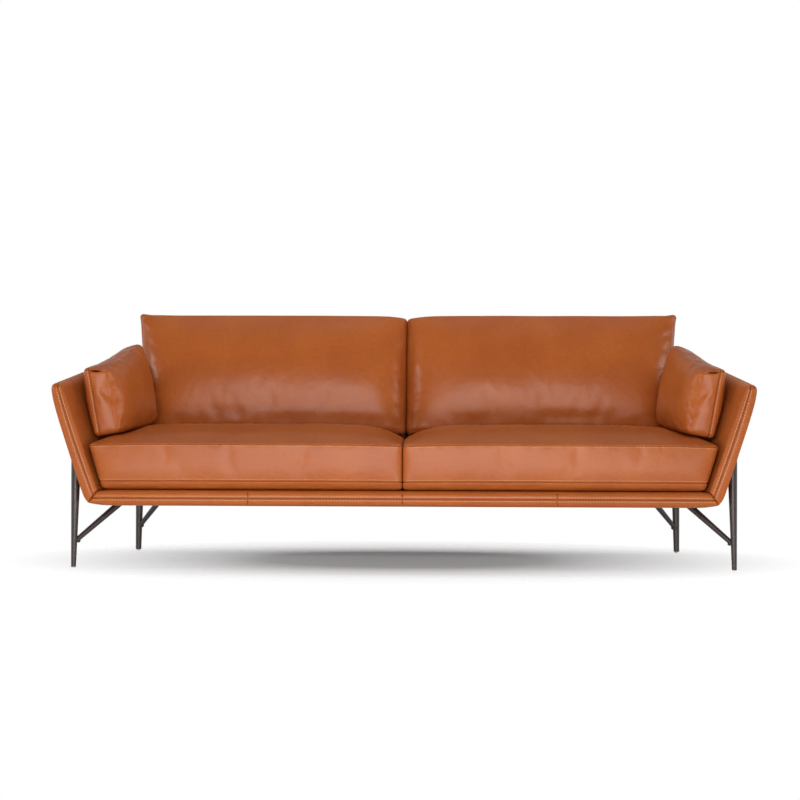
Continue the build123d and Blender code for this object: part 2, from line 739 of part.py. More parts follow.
def make_brace(depth, along, leg):
    """A tapered round bar from a leg up to its plate, coped to the leg."""
    foot = place(leg_x(depth), depth, UNDERSIDE - BRACE_DROP)
    head = brace_head(depth, along)
    run = head - foot
    with BuildPart() as brace:
        with BuildSketch(Plane(origin=foot, z_dir=run)):
            Circle(BRACE_FOOT_RADIUS)
        with BuildSketch(Plane(origin=foot + run * (1 + PLATE / run.Z), z_dir=run)):
            Circle(BRACE_HEAD_RADIUS)
        loft()
        split(bisect_by=level(UNDERSIDE - PLATE), keep=Keep.BOTTOM)
        add(leg.part, mode=Mode.SUBTRACT)
    return brace


for name, (depth, along) in BRACES.items():
    leg = make_leg(depth)
    save_pair(leg, f"leg_{name}")
    save_pair(make_brace(depth, along, leg), f"brace_{name}")

PLATE_SPOTS = [(side * c.X, c.Y) for c in PLATE_CENTERS for side in (-1, 1)]
with BuildPart() as brace_plates:
    with BuildSketch(Plane.XY.offset(UNDERSIDE - PLATE)):
        with Locations(*PLATE_SPOTS):
            RectangleRounded(PLATE_LONG, PLATE_WIDE, PLATE_CORNER)
    extrude(amount=PLATE)
    for x, y in PLATE_SPOTS:
        with Locations(Plane(origin=(x, y, UNDERSIDE - PLATE), z_dir=(0, 0, -1))):
            with GridLocations(SCREW_PITCH, 0, 2, 1):
                CounterSinkHole(SCREW_RADIUS + DRILL_FIT, SCREW_HEAD_RADIUS + DRILL_FIT, PLATE)
save(brace_plates, "brace_plates")

SCREW_HEAD = SCREW_HEAD_RADIUS - SCREW_RADIUS
with BuildPart() as plate_screws:
    with Locations(*SCREW_AXES, *mirrored_axes(SCREW_AXES)):
        Cylinder(SCREW_RADIUS, SCREW_LENGTH, align=UP)
        Cone(SCREW_HEAD_RADIUS, SCREW_RADIUS, SCREW_HEAD, align=UP)
save(plate_screws, "plate_screws")

with BuildPart() as leg_bolts:
    with Locations(*LEG_BOLT_AXES, *mirrored_axes(LEG_BOLT_AXES)):
        Cylinder(BOLT_RADIUS, LEG_BOLT_HEAD_IN + LEG_BOLT_BITE - HOLE_END, align=UP)
        Cylinder(BOLT_HEAD_RADIUS, BOLT_HEAD, align=DOWN)
save(leg_bolts, "leg_bolts")

with BuildPart() as foot_glides:
    with Locations(*[place(side * leg_x(d), d, 0) for d in LEGS.values() for side in (-1, 1)]):
        Cylinder(GLIDE_RADIUS, GLIDE, align=UP)
        Cylinder(SPIGOT_RADIUS, GLIDE + SPIGOT_LENGTH - HOLE_END, align=UP)
save(foot_glides, "foot_glides")


# Cushions: each is a loft of flat sections made of lines and arcs
def section(*runs):
    """A flat face from runs of two points, a line, or three points, an arc."""
    with BuildLine() as outline:
        for run in runs:
            if len(run) == 2:
                Line(*run)
            else:
                ThreePointArc(*run)
    return Face(Wire(outline.edges()))


def lofted(sections):
    with BuildPart() as form:
        loft(sections=sections)
    return form


STATIONS = (0.0, 0.06, 0.16, 0.5, 0.84, 0.94, 1.0)


def swell(share):
    """Nothing at a cushion's ends, full over its middle."""
    return 1 - abs(2 * share - 1) ** SWELL_POWER


def back_front_foot():
    """Depth of the back cushion's front, where it stands on the seat."""
    return back_inner_depth(SEAT_REST) - BACK_FOOT_THICK


def seat_rest(depth):
    """Height of the slope at the rear of the seat that the back cushion stands on."""
    return SEAT_REST - SEAT_REST_FALL * (depth - back_front_foot() + SEAT_REST_LEAD)


def back_cushion_rear(clear):
    """Depth of the back cushion's rear foot, that far off the wall and off the seat."""
    lean = back_inner_depth(1) - back_inner_depth(0)
    return (back_inner_depth(seat_rest(0) + clear) - clear) / (1 + lean * SEAT_REST_FALL)


def seat_form(inset):
    """A seat cushion: boxed front with a lower band, a crown, and a slope for the back cushion."""
    end_lean = tan(radians(SEAT_END_LEAN))
    low = DECK + FIT + inset
    rear = BACK_INNER_DEPTH + SEAT_REAR_LEAN - inset
    rest = back_front_foot() - SEAT_REST_LEAD

    def at(share, depth, z):
        inner = SEAT_GAP / 2 + inset
        outer = arm_inner_x(depth, DECK) - SEAT_SIDE_GAP + end_lean * (z - DECK) - inset
        return place(inner + share * (outer - inner), depth, z)

    tuck_share, band_share = SEAT_TUCK_MIDDLE
    sections = []
    for share in STATIONS:
        full = swell(share)
        front = SEAT_FRONT + inset
        seam = DECK + SEAT_SEAM_RISE - inset - SEAT_END_DROP * (1 - full)
        rise = SEAT_END_CROWN_RISE + (SEAT_CROWN_RISE - SEAT_END_CROWN_RISE) * full
        crown = DECK + rise - inset
        band = low + SEAT_BAND
        p = [
            at(share, front + SEAT_TUCK, low),
            at(share, front + SEAT_TUCK * tuck_share, low + SEAT_BAND * band_share),
            at(share, front, band),
            at(share, front - SEAT_BULGE * full, (band + seam) / 2),
            at(share, front + SEAT_SEAM_SETBACK, seam),
            at(share, SEAT_CROWN_DEPTH, crown),
            at(share, rest, seat_rest(rest) - inset),
            at(share, rear, seat_rest(rear) - inset),
            at(share, BACK_INNER_DEPTH - inset, low),
        ]
        sections.append(
            section(p[0:3], p[2:5], p[4:7], p[6:8], p[7:9], (p[8], p[0]))
        )
    return lofted(sections)


def back_cushion_form(inset):
    """A back cushion: flat where it leans on the wall, swollen to the front, thin at its ends."""
    end_lean = tan(radians(BACK_END_LEAN))
    clear = FIT + inset
    top = SEAT_REST + FIT + BACK_CUSHION_TALL - inset
    rear_low = back_cushion_rear(clear)
    rear_top = back_inner_depth(top) - clear

    def at(share, depth, z):
        inner = SEAT_GAP / 2 + inset
        foot_x = arm_inner_x(back_inner_depth(SEAT_REST), SEAT_REST) - BACK_SIDE_GAP
        outer = foot_x + end_lean * (z - SEAT_REST) - inset
        return place(inner + share * (outer - inner), depth, z)

    sections = []
    for share in STATIONS:
        full = swell(share)
        recess = BACK_END_RECESS * (1 - full) + inset
        foot = back_front_foot() + recess
        head = back_inner_depth(top + inset) - BACK_HEAD_THICK + recess
        bulge = BACK_END_BULGE + (BACK_BULGE - BACK_END_BULGE) * full
        low = seat_rest(foot) + clear
        p = [
            at(share, foot, low),
            at(share, (foot + head) / 2 - bulge, (low + top) / 2),
            at(share, head, top),
            at(share, (head + rear_top) / 2, top + BACK_CUSHION_CREST),
            at(share, rear_top, top),
            at(share, rear_low, seat_rest(rear_low) + clear),
        ]
        sections.append(section(p[0:3], p[2:5], p[4:6], (p[5], p[0])))
    return lofted(sections)


def pillow_form(inset):
    """An arm pillow: two swollen panels on a gusset, leaning on the arm."""
    front = PILLOW_FRONT + inset
    length = back_front_foot() - PILLOW_BACK_GAP - inset - front
    sections = []
    for share in STATIONS:
        full = swell(share)
        depth = front + share * length
        half = PILLOW_GUSSET / 2 - inset
        corner = PILLOW_CORNER * (1 - full)
        foot = SEAT_REST + PILLOW_FOOT_FRONT_RISE + inset + corner
        foot += share * (PILLOW_FOOT_REAR_RISE - PILLOW_FOOT_FRONT_RISE)
        tall = PILLOW_FRONT_TALL + share * (PILLOW_REAR_TALL - PILLOW_FRONT_TALL)
        head = foot + tall - 2 * inset - 2 * corner
        middle = (foot + head) / 2
        outer_bulge = PILLOW_END_BULGE + (PILLOW_BULGE - PILLOW_END_BULGE) * full
        inner_bulge = PILLOW_END_BULGE + (PILLOW_INNER_BULGE - PILLOW_END_BULGE) * full
        foot_x = arm_inner_x(depth, foot) - PILLOW_FOOT_OFF
        head_x = arm_inner_x(depth, head) - PILLOW_HEAD_OFF
        middle_x = (foot_x + head_x) / 2
        outer_foot = place(foot_x + half, depth, foot)
        outer_head = place(head_x + half, depth, head)
        inner_head = place(head_x - half, depth, head)
        inner_foot = place(foot_x - half, depth, foot + PILLOW_FOOT_TILT)
        sections.append(
            section(
                (outer_foot, place(middle_x + half + outer_bulge, depth, middle), outer_head),
                (outer_head, inner_head),
                (
                    inner_head,
                    place(middle_x - half - inner_bulge, depth, middle),
                    inner_foot,
                ),
                (inner_foot, outer_foot),
            )
        )
    return lofted(sections)


for name, form in (
    ("seat", seat_form),
    ("back_cushion", back_cushion_form),
    ("pillow", pillow_form),
):
    cover = form(0)
    with cover:
        add(form(CUSHION_COVER).part, mode=Mode.SUBTRACT)
    save_pair(cover, f"{name}_cover")
    save_pair(form(CUSHION_COVER + CORE_FIT), f"{name}_core")
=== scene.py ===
"""Looks of the leather sofa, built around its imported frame.

Metres, +X to the viewer's right, +Y to the back, +Z up. A depth is measured back from the shell's front.
In the functions that shape a piece, u, v and w are places on its flat cut, t is a depth and z a height.
"""

import json
import math

import bpy
import numpy as np
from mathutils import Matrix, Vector, noise


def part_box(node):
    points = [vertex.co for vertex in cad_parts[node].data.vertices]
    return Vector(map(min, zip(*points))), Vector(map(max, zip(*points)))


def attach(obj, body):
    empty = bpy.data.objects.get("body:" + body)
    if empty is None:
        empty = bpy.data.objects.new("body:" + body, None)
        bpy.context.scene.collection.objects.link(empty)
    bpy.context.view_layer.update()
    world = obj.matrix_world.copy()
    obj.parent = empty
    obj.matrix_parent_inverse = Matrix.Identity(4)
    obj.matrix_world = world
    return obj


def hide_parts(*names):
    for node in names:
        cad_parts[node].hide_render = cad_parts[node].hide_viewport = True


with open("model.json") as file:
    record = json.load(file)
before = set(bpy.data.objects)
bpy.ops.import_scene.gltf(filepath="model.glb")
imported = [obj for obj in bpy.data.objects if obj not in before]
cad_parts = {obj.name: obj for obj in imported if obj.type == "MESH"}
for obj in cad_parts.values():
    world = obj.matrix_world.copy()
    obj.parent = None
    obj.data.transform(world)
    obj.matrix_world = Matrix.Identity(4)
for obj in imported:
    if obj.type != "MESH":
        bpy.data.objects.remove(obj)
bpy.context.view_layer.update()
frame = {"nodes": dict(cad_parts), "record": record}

# Shell: the planes that the arms and the back follow
FRONT = -0.46
UNDERSIDE = 0.212
DECK = 0.264
ARM_OUTER_FOOT = 1.039
ARM_INNER_FOOT = 0.985
ARM_SPLAY = math.tan(math.radians(7.9))
ARM_OUTER_LEAN = math.tan(math.radians(18))
ARM_INNER_LEAN = 0.34448
ARM_HEIGHT = 0.612  # at the front; the padding is drawn down a little over the frame
ARM_RISE = 0.13587
BACK_OUTER_FOOT = 0.8016
BACK_INNER_FOOT = 0.7496
BACK_OUTER_LEAN = math.tan(math.radians(12.5))
BACK_INNER_LEAN = 0.23293
BACK_HEIGHT = 0.746
BORDER_DEEP = 0.13
PANEL_SEAMS = (-0.506, 0.0, 0.506)  # where the leather of the border and the back is joined

# Shell: padded pieces. A cut is across, deep, tall; LOW and HIGH are its edges' radii at the axes' two ends
ARM = (0.052, 0.86, 0.46)
ARM_PITCH = (0.006, 0.024, 0.018)  # of the mesh
ARM_LOW, ARM_HIGH = (0.013, 0.018, 0.003), (0.026, 0.004, 0.024)
ARM_BOW = 0.012  # how far an arm's padded outer side swells
ARM_CREST_IN = 0.009  # how far the padding leans in at the crest
ARM_SEAM = 0.0165  # from the inner side
ARM_WAVES = (0.22, 0.0022)  # size and height of the soft waves in the leather
WALL = (2.0, 0.05, 0.534)
WALL_PITCH = (0.03, 0.006, 0.022)
WALL_LOW, WALL_HIGH = (0.004, 0.014, 0.008), (0.004, 0.014, 0.014)
WALL_TUCK = 0.004  # how far the back wall reaches in behind the arms
WALL_WAVES = (0.25, 0.0022)
BORDER = (1.96, BORDER_DEEP, 0.052)
BORDER_PITCH = (0.03, 0.02, 0.006)
BORDER_LOW, BORDER_HIGH = (0.002, 0.020, 0.018), (0.002, 0.006, 0.022)
BORDER_ENDS = (0.9, 0.1)  # share of each half that is straight, and that follows the arm
BORDER_WAVES = (0.09, 0.0012)
BORDER_WAVE_TOP = 0.01  # below the top, which a pulled seat passes over
BORDER_WAVE_DEPTH = 0.02
PANEL_EDGE = 0.05  # from a panel's edge to where its waves are full
CORNER_ROUND = (0.012, 0.026)  # radius of the outer lower corner, and what is added at the front
CORNER_DEEP = 0.06  # depth over which the front's share fades
JOIN = 0.0008  # gap where the arms and the back meet
MITRE_EASE = 0.004  # depth over which an arm's foot drops behind the border
DECK_CUT = 1.9
DECK_PITCH = 0.03
DECK_ROUND = (0.004, 0.004, 0.002)
DECK_GAP = 0.006  # beside the arms
DECK_QUILT = (0.19, 0.002)  # pitch and height of the quilting
DECK_SINK = 0.0022  # keeps the quilting under the seats
BRACE_END = 0.012  # height of a brace's ends, from which its line is found
WELD_UP = 0.006  # along the brace from its foot
WELD_RING = 0.0066  # radius of the weld's middle line
WELD_FAT = (0.0034, 0.0006)  # half thickness, and how much it ripples
WELD_RIPPLES = 9
WELD_LONG = 1.4  # how much longer than thick the weld is, along the brace

# Seat cushions
SEAT = (0.99, 0.74, 0.20)
SEAT_PITCH = (0.019, 0.021, 0.012)
SEAT_LOW, SEAT_HIGH = (0.02, 0.013, 0.012), (0.02, 0.02, 0.011)
SEAT_TOP_SEAM = SEAT[2] - 0.008
SEAT_BAND = 0.036  # height of the lower seam
SEAT_TUCK = 0.020  # how far the foot of the front draws back
SEAT_TUCK_DEPTH = 0.06  # behind which nothing of that is left
SEAT_FRONT = 0.012
SIDE_GAP = 0.0004  # half the gap between the left and right cushions
FIT = 0.0006  # gap between pieces that rest on each other
SEAT_LIFT = 0.0014  # off the deck, so that a pulled seat slides clear of the border
SEAT_SIDE_GAP = 0.011  # beside the arms, at the foot
SEAT_END_LEAN = math.tan(math.radians(16.5))
SEAT_END_SHARE = 0.6  # of the width, from which the lean of the outer end comes in
SEAT_SEAM = 0.423  # top of the front edge, just over its seam
SEAT_SEAM_DIP = 0.006  # of the front edge at its ends
SEAT_FRONT_BULGE = 0.005
SEAT_BULGE_DEPTH = 0.2  # behind which nothing of it is left
SEAT_CROWN = 0.471
SEAT_CROWN_DEPTH = 0.30
SEAT_END_CROWN = 0.440
SEAT_INNER_CROWN = 0.430  # where the two seats meet
SEAT_INNER_DROP = 0.030  # of the slope at the rear, where the two seats meet
SEAT_REAR_LEAN = 0.032
REST_DEPTH = 0.59  # where the slope under the back cushion starts
REST_HEIGHT = 0.451
REST_FALL = 0.235
SEAT_SOLE = 0.01  # from the foot and the inner side, within which a seat is held
SEAT_HELD_DEPTH = 0.56  # from here back it is held under the back cushion
SEAT_WAVES = (0.16, 0.003)
SEAT_WAVE_EDGE = 0.08  # from an edge to where the waves are full
SEAT_WAVE_HEIGHT = 0.18  # above which the front counts as an edge
SEAT_GATHERS = (0.014, 0.0016)  # size and height of the gathers along the top seam
SEAT_GATHER_REACH = 0.016
SEAT_GATHER_DRAW = (1, 0.35, 0.35)  # less than one draws them out along that axis
SEAT_GATHER_EDGE = 0.03  # from the inner side, which rubs, to where the gathers are full
SEAT_FILL = (0.0026, 0.006)  # share of slack in the cover, and the most that filling moves it

# Back cushions
BACK = (0.93, 0.18, 0.42)
BACK_PITCH = (0.019, 0.016, 0.017)
BACK_LOW, BACK_HIGH = (0.016, 0.018, 0.018), (0.016, 0.010, 0.009)
BACK_SEAM = 0.016  # depth of the top seam, behind the front
BACK_FRONT_FOOT = 0.612
BACK_FRONT_HEAD = 0.735
BACK_TOP = 0.867
BACK_CROWN = 0.006  # how far the top rises in the middle
BACK_FOOT_REAR = 0.8  # depth of the slope on the seat where the foot meets the back wall
BACK_DIP = 0.004  # of the top, where the two cushions meet
BACK_DIP_WIDE = 0.05  # as a share of the width
BACK_EAR = (0.006, 0.004)  # turned-up outer corner: its broad part and its tip
BACK_EAR_WIDE = (0.10, 0.02)
BACK_EAR_REACH = 0.02  # of the tip's relief, from the corner
BACK_END_LEAN = math.tan(math.radians(6.4))
BACK_END_GAP = 0.010
BACK_BULGE = 0.040  # of the front in the middle
BACK_FLAT_BULGE = 0.010  # and what the ends have too
BACK_RECESS = 0.036  # of the front's foot at the ends
BACK_HELD = 0.03  # from the rear, within which the cushion is held by the back wall
BACK_SOLE = 0.012
BACK_INNER_HELD = 0.008
BACK_TOP_HELD = 0.006
BACK_FACE = 0.03  # depth behind the front over which its relief fades
BACK_WAVES = (0.19, 0.004)
BACK_CREASES = (0.028, 0.0035)  # slanting in from the outer and inner edges
BACK_CREASE_REACH = 0.035
BACK_FOLDS = (0.05, 0.003)  # lying along the foot
BACK_FOLD_HEIGHT = 0.05
BACK_FOLD_DRAW = (0.4, 1, 1)
BACK_FILL = (0.007, 0.014)

# Arm pillows, cut along the arm, thick, tall
PILLOW = (0.472, 0.11, 0.27)
PILLOW_PITCH = (0.015, 0.008, 0.013)
PILLOW_LOW, PILLOW_HIGH = (0.022, 0.032, 0.02), (0.03, 0.016, 0.02)
PILLOW_SEAM = PILLOW[1] - 0.026
PILLOW_FRONT = 0.112
PILLOW_FOOT = 0.428
PILLOW_FOOT_RISE = 0.030  # from the front to the rear
PILLOW_TALL = 0.244
PILLOW_HEAD_RISE = 0.060  # what the height gains from the front to the rear
PILLOW_CORNER = 0.008  # how far the corners are drawn in
PILLOW_FOOT_IN = 0.056  # from the arm's inner side to the middle of the foot
PILLOW_HEAD_IN = 0.095
PILLOW_GUSSET = 0.088
PILLOW_BULGE = 0.031
PILLOW_TILT = 0.018  # inner seam above the outer one, along the foot
PILLOW_HEAD_TILT = 0.020  # and at the rear of the head
PILLOW_SAG = 0.016  # of the outer seam along the head
PILLOW_SAG_REAR = 1.6  # share of it at the rear end
PILLOW_PRESS = 0.006  # height over a pillow's foot to which the seat gives way
PILLOW_REACH = 0.135  # width of seat beside the arm that a pillow presses
PILLOW_EASE = (0.04, 0.02)  # over which the pressed part fades, across and along
PILLOW_HELD = 0.012  # from the arm's side, within which the pillow is held
PILLOW_SOLE = 0.02
PILLOW_FACE = 0.012  # thickness behind the inner side over which its relief fades
PILLOW_WAVES = (0.11, 0.004)
PILLOW_GATHERS = (0.022, 0.0028)
PILLOW_GATHER_REACH = (0.02, 0.022)  # place and width of the gathers beside the edge
PILLOW_FOLDS = (0.03, 0.001)  # in the gusset at the front
PILLOW_FOLD_WIDE = 0.24  # as a share of the thickness
PILLOW_FILL = (0.004, 0.007)
FLAP = 0.006  # how far the flap stands out over the slit
FLAP_TALL = 0.006
FLAP_HEIGHT = PILLOW[2] - 0.007
SLIT_DEEP = 0.012
SLIT_REACH = 0.012  # along the arm, from the front
SLIT_TALL = 0.0042
SLIT_WIDE = 0.26  # half width, as a share of the pillow's thickness

# Sewing
SEAM_STEPS = (-0.0065, -0.0035, -0.0014, 0.0, 0.0014, 0.0035, 0.0065)  # mesh lines beside a seam
SEAM_WIDTH = 0.0021
SEAM_DEEP = 0.0030
SEAM_EDGE = 0.004  # how far round an edge a seam shows
# the groove of a seam is painted darker by this much, as painted shade
SEAM_SHADE = 0.40  # how dark its groove is
STITCH_OFFSET = 0.0065  # of a row of stitches from its seam
STITCH = 0.0070
STITCH_PITCH = 0.0100
THREAD = 0.0009
EDGE_CUTS = (0.3, 0.65, 1.0)  # shares of a rounded edge at which the mesh is cut
CLOSEST_CUTS = 0.0009

# Filling by a short cloth simulation
FILL_STEPS = 20
FILL_PRESSURE = 4
FILL_STIFFNESS = 20
FILL_SIDEWAYS = 0.004  # the most that filling moves a cover sideways
FILL_SEAM_HOLD = 1.5  # how firmly a seam is held

# Camera and light
CAMERA = (0.123, -6.16, 0.562)
CAMERA_TURN = 0.0230  # radians to the left
CAMERA_ROLL = -0.003
LENS = 78.6
FLOOR_LIFT = 0.06  # light added to the floor, to bring it to white
FLOOR_REACH = 3.0
FLOOR_DROP = 0.0002  # below the feet
FLOOR_OVAL = (1.4, 0.85)  # half sizes of the oval in which the floor shows
FLOOR_FADE = (0.35, 1.0)  # where in that oval it starts to fade, and is gone
WORLD_FILL = 0.10
BACKDROP_TOP = (0.15, 0.5)  # sines of the angles between which the backdrop dims, for gloss
CEILING = 0.2  # how white the ceiling above it is, for gloss
# each lamp: name, place, what it points at, size, watts, whether it shows in gloss
LAMPS = (
    ("softbox_key", (-0.1, -4.3, 1.55), (0, 0, 0.6), (2.6, 0.5), 78, True),
    ("softbox_front", (0, -6.6, 0.6), (0, 0, 0.45), (4.5, 0.8), 104, True),
    ("softbox_left", (-4.2, -0.7, 1.4), (-0.6, 0, 0.6), (1.2, 1.2), 56, True),
    ("softbox_right", (4.2, -0.7, 1.4), (0.6, 0, 0.6), (1.2, 1.2), 46, True),
    ("low_bounce", (0, -2.4, 0.12), (0, -0.45, 0.4), (3.0, 0.2), 20, True),
    ("softbox_above", (0, 0.7, 3.3), (0, 0.2, 0), (3.2, 1.0), 50, False),
)


def arm_inner(t, z):
    return ARM_INNER_FOOT - ARM_SPLAY * t + ARM_INNER_LEAN * (z - UNDERSIDE)


def arm_outer(t, z):
    return ARM_OUTER_FOOT - ARM_SPLAY * t + ARM_OUTER_LEAN * (z - UNDERSIDE)


def back_inner(z):
    return BACK_INNER_FOOT + BACK_INNER_LEAN * (z - UNDERSIDE)


def back_outer(z):
    return BACK_OUTER_FOOT + BACK_OUTER_LEAN * (z - UNDERSIDE)


def swell(share, power=4):
    """Nothing at a cushion's ends, full over its middle; more so at a higher power."""
    return 1 - np.abs(2 * share - 1) ** power


def seat_rest(t):
    """Height of the slope at the rear of the seat that the back cushion stands on."""
    return REST_HEIGHT - REST_FALL * (t - REST_DEPTH)


def near(value, place, width):
    """One at a place, falling softly to nothing about two widths away."""
    return np.exp(-(((value - place) / width) ** 2))


# Colours and materials
def colour(code):
    """Linear colour from an sRGB hex value."""
    parts = [int(code[i : i + 2], 16) / 255 for i in (1, 3, 5)]
    return [c / 12.92 if c < 0.04045 else ((c + 0.055) / 1.055) ** 2.4 for c in parts] + [1.0]


def node(tree, kind, inputs, **settings):
    """Adds a node with its settings; an input is a value, or the output socket it is linked from."""
    made = tree.nodes.new(kind)
    for name, value in settings.items():
        setattr(made, name, value)
    for name, value in inputs.items():
        if isinstance(value, bpy.types.NodeSocket):
            tree.links.new(value, made.inputs[name])
        else:
            made.inputs[name].default_value = value
    return made


def material(name):
    made = bpy.data.materials.new(name)
    made.use_nodes = True
    tree = made.node_tree
    return made, tree, tree.nodes["Principled BSDF"]


def tan_leather():
    """Semi-aniline cowhide, drum dyed: an even warm tan, a little cloudy, with soft wide highlights."""
    made, tree, skin = material("semi_aniline_cowhide")
    place = node(tree, "ShaderNodeTexCoord", {}).outputs["Object"]
    # clouds of dye about 160 mm across
    cloud = node(tree, "ShaderNodeTexNoise", {"Vector": place, "Scale": 1 / 0.16, "Detail": 3.0})
    # pores and pebbles, about 1.5 mm in life, drawn at 4 mm so that they show
    pebble = node(tree, "ShaderNodeTexVoronoi", {"Vector": place, "Scale": 1 / 0.004})
    # flecks of dye and of gloss about 12 mm across
    fleck = node(tree, "ShaderNodeTexNoise", {"Vector": place, "Scale": 1 / 0.012, "Detail": 4.0})
    # soft creases about 50 mm across
    lined = {"Vector": place, "Scale": 1 / 0.05, "Detail": 5.0, "Distortion": 0.6}
    crease = node(tree, "ShaderNodeTexNoise", lined)
    seam = node(tree, "ShaderNodeAttribute", {}, attribute_name="seam")
    clouded = {0: cloud.outputs["Fac"], 6: colour("#8C4019"), 7: colour("#A85926")}
    base = node(tree, "ShaderNodeMix", clouded, data_type="RGBA")
    pores = {0: fleck.outputs["Fac"], 6: colour("#7C3A16"), 7: colour("#B46C34")}
    speckle = node(tree, "ShaderNodeMix", pores, data_type="RGBA")
    both = {0: 0.25, 6: base.outputs[2], 7: speckle.outputs[2]}
    mottled = node(tree, "ShaderNodeMix", both, data_type="RGBA")
    # painted shade: where the seam attribute is one, the seam grooves and the pillows' slit are mixed towards
    # near black
    darkened = {0: seam.outputs["Fac"], 6: mottled.outputs[2], 7: colour("#150906")}
    painted_seam_shade = node(tree, "ShaderNodeMix", darkened, data_type="RGBA")
    tree.links.new(painted_seam_shade.outputs[2], skin.inputs["Base Color"])
    rough = node(tree, "ShaderNodeMapRange", {"Value": fleck.outputs["Fac"], "To Min": 0.27, "To Max": 0.40})
    tree.links.new(rough.outputs[0], skin.inputs["Roughness"])
    pebbled = {"Height": pebble.outputs["Distance"], "Strength": 0.10, "Distance": 0.001}
    grain = node(tree, "ShaderNodeBump", pebbled)
    creased = {"Height": crease.outputs["Fac"], "Strength": 0.22, "Distance": 0.006}
    folds = node(tree, "ShaderNodeBump", {**creased, "Normal": grain.outputs[0]})
    tree.links.new(folds.outputs[0], skin.inputs["Normal"])
    skin.inputs["IOR"].default_value = 1.5
    skin.inputs["Specular IOR Level"].default_value = 0.21
    return made


def bonded_thread():
    """Bonded polyester thread, twisted: paler than the leather, with a dull shine."""
    made, tree, skin = material("bonded_polyester_thread")
    place = node(tree, "ShaderNodeTexCoord", {}).outputs["Object"]
    twist = node(tree, "ShaderNodeTexNoise", {"Vector": place, "Scale": 1 / 0.004})
    strands = {0: twist.outputs["Fac"], 6: colour("#BC8248"), 7: colour("#D6A468")}
    tint = node(tree, "ShaderNodeMix", strands, data_type="RGBA")
    tree.links.new(tint.outputs[2], skin.inputs["Base Color"])
    skin.inputs["Roughness"].default_value = 0.6
    return made


def flecked(name, dark, light, size_mm, rough, metallic, bump, stretch=(1, 1, 1)):
    """A finish with fine variation of one size, drawn out along an axis where it has a grain."""
    made, tree, skin = material(name)
    place = node(tree, "ShaderNodeTexCoord", {}).outputs["Object"]
    along = node(tree, "ShaderNodeMapping", {"Vector": place, "Scale": stretch}).outputs[0]
    fine = node(tree, "ShaderNodeTexNoise", {"Vector": along, "Scale": 1000 / size_mm, "Detail": 4.0})
    shades = {0: fine.outputs["Fac"], 6: colour(dark), 7: colour(light)}
    tint = node(tree, "ShaderNodeMix", shades, data_type="RGBA")
    tree.links.new(tint.outputs[2], skin.inputs["Base Color"])
    range_of_gloss = {"Value": fine.outputs["Fac"], "To Min": rough - 0.06, "To Max": rough + 0.06}
    spread = node(tree, "ShaderNodeMapRange", range_of_gloss)
    tree.links.new(spread.outputs[0], skin.inputs["Roughness"])
    raised = {"Height": fine.outputs["Fac"], "Strength": bump, "Distance": 0.0005}
    relief = node(tree, "ShaderNodeBump", raised)
    tree.links.new(relief.outputs[0], skin.inputs["Normal"])
    skin.inputs["Metallic"].default_value = metallic
    return made


def woven_cloth(name, dark, light):
    """Plain-woven polypropylene: matt, with a weave drawn much wider than in life so that it shows."""
    made, tree, skin = material(name)
    place = node(tree, "ShaderNodeTexCoord", {}).outputs["Object"]
    # bands about 25 mm apart: 4 mm for each radian of the wave, which has 20 radians to a unit
    bands = {"Vector": place, "Scale": 1 / (0.004 * 20)}
    warp = node(tree, "ShaderNodeTexWave", bands, bands_direction="X")
    weft = node(tree, "ShaderNodeTexWave", bands, bands_direction="Y")
    crossed = {0: warp.outputs["Fac"], 1: weft.outputs["Fac"]}
    weave = node(tree, "ShaderNodeMath", crossed, operation="MULTIPLY")
    shades = {0: weave.outputs[0], 6: colour(dark), 7: colour(light)}
    tint = node(tree, "ShaderNodeMix", shades, data_type="RGBA")
    tree.links.new(tint.outputs[2], skin.inputs["Base Color"])
    relief = node(tree, "ShaderNodeBump", {"Height": weave.outputs[0], "Strength": 0.4, "Distance": 0.001})
    tree.links.new(relief.outputs[0], skin.inputs["Normal"])
    skin.inputs["Roughness"].default_value = 0.85
    return made


LEATHER = tan_leather()
THREAD_FINISH = bonded_thread()
DECK_CLOTH = woven_cloth("woven_deck_lining", "#4A3424", "#7A573C")
# satin lacquer over ground steel: nearly black, warm, with soft streaks of light down each leg
STEEL = flecked("bronze_lacquered_steel", "#2A2220", "#3F3532", 3.0, 0.34, 0.35, 0.05, (1, 1, 0.2))
FINISHES = {
    "tan_leather": LEATHER,
    "lacquered_steel": STEEL,
    # zinc plating: pale, dull metal with a cloudy bloom
    "zinc_fasteners": flecked("zinc_plated_steel", "#9A9A97", "#BDBDB8", 2.0, 0.38, 1.0, 0.05),
    # moulded nylon: milky and a little waxy
    "nylon_glide": flecked("moulded_nylon", "#C9C6BB", "#DCDAD1", 1.5, 0.5, 0.0, 0.05),
    # planed beech: pale, with pink-brown flecks along the grain
    "beech_frame": flecked("planed_beech", "#B98F61", "#D8B588", 9.0, 0.6, 0.0, 0.15, (0.2, 1, 1)),
    # open-cell foam: cream, matt, full of fine holes
    "foam": flecked("polyurethane_foam", "#D9CDA9", "#EDE3C4", 3.0, 0.9, 0.0, 0.4),
    "woven_cloth": woven_cloth("woven_dust_cloth", "#17171A", "#2B2B30"),
}


# Meshes
def cuts(length, pitch, low, high, *seams):
    """Cut lines across a length: even, closer together in the rounded edges and around each seam."""
    close = {0.0, length}
    for share in EDGE_CUTS:
        close |= {low * share, length - high * share}
    for seam in seams:
        close |= {seam + step for step in SEAM_STEPS}
    for line in np.linspace(0, length, max(2, round(length / pitch)) + 1):
        if min(abs(line - c) for c in close) > pitch * 0.45:
            close.add(line)
    lines = sorted(c for c in close if 0 <= c <= length)
    kept = [lines[0]]
    for line in lines[1:]:
        if line - kept[-1] > CLOSEST_CUTS:
            kept.append(line)
    return kept


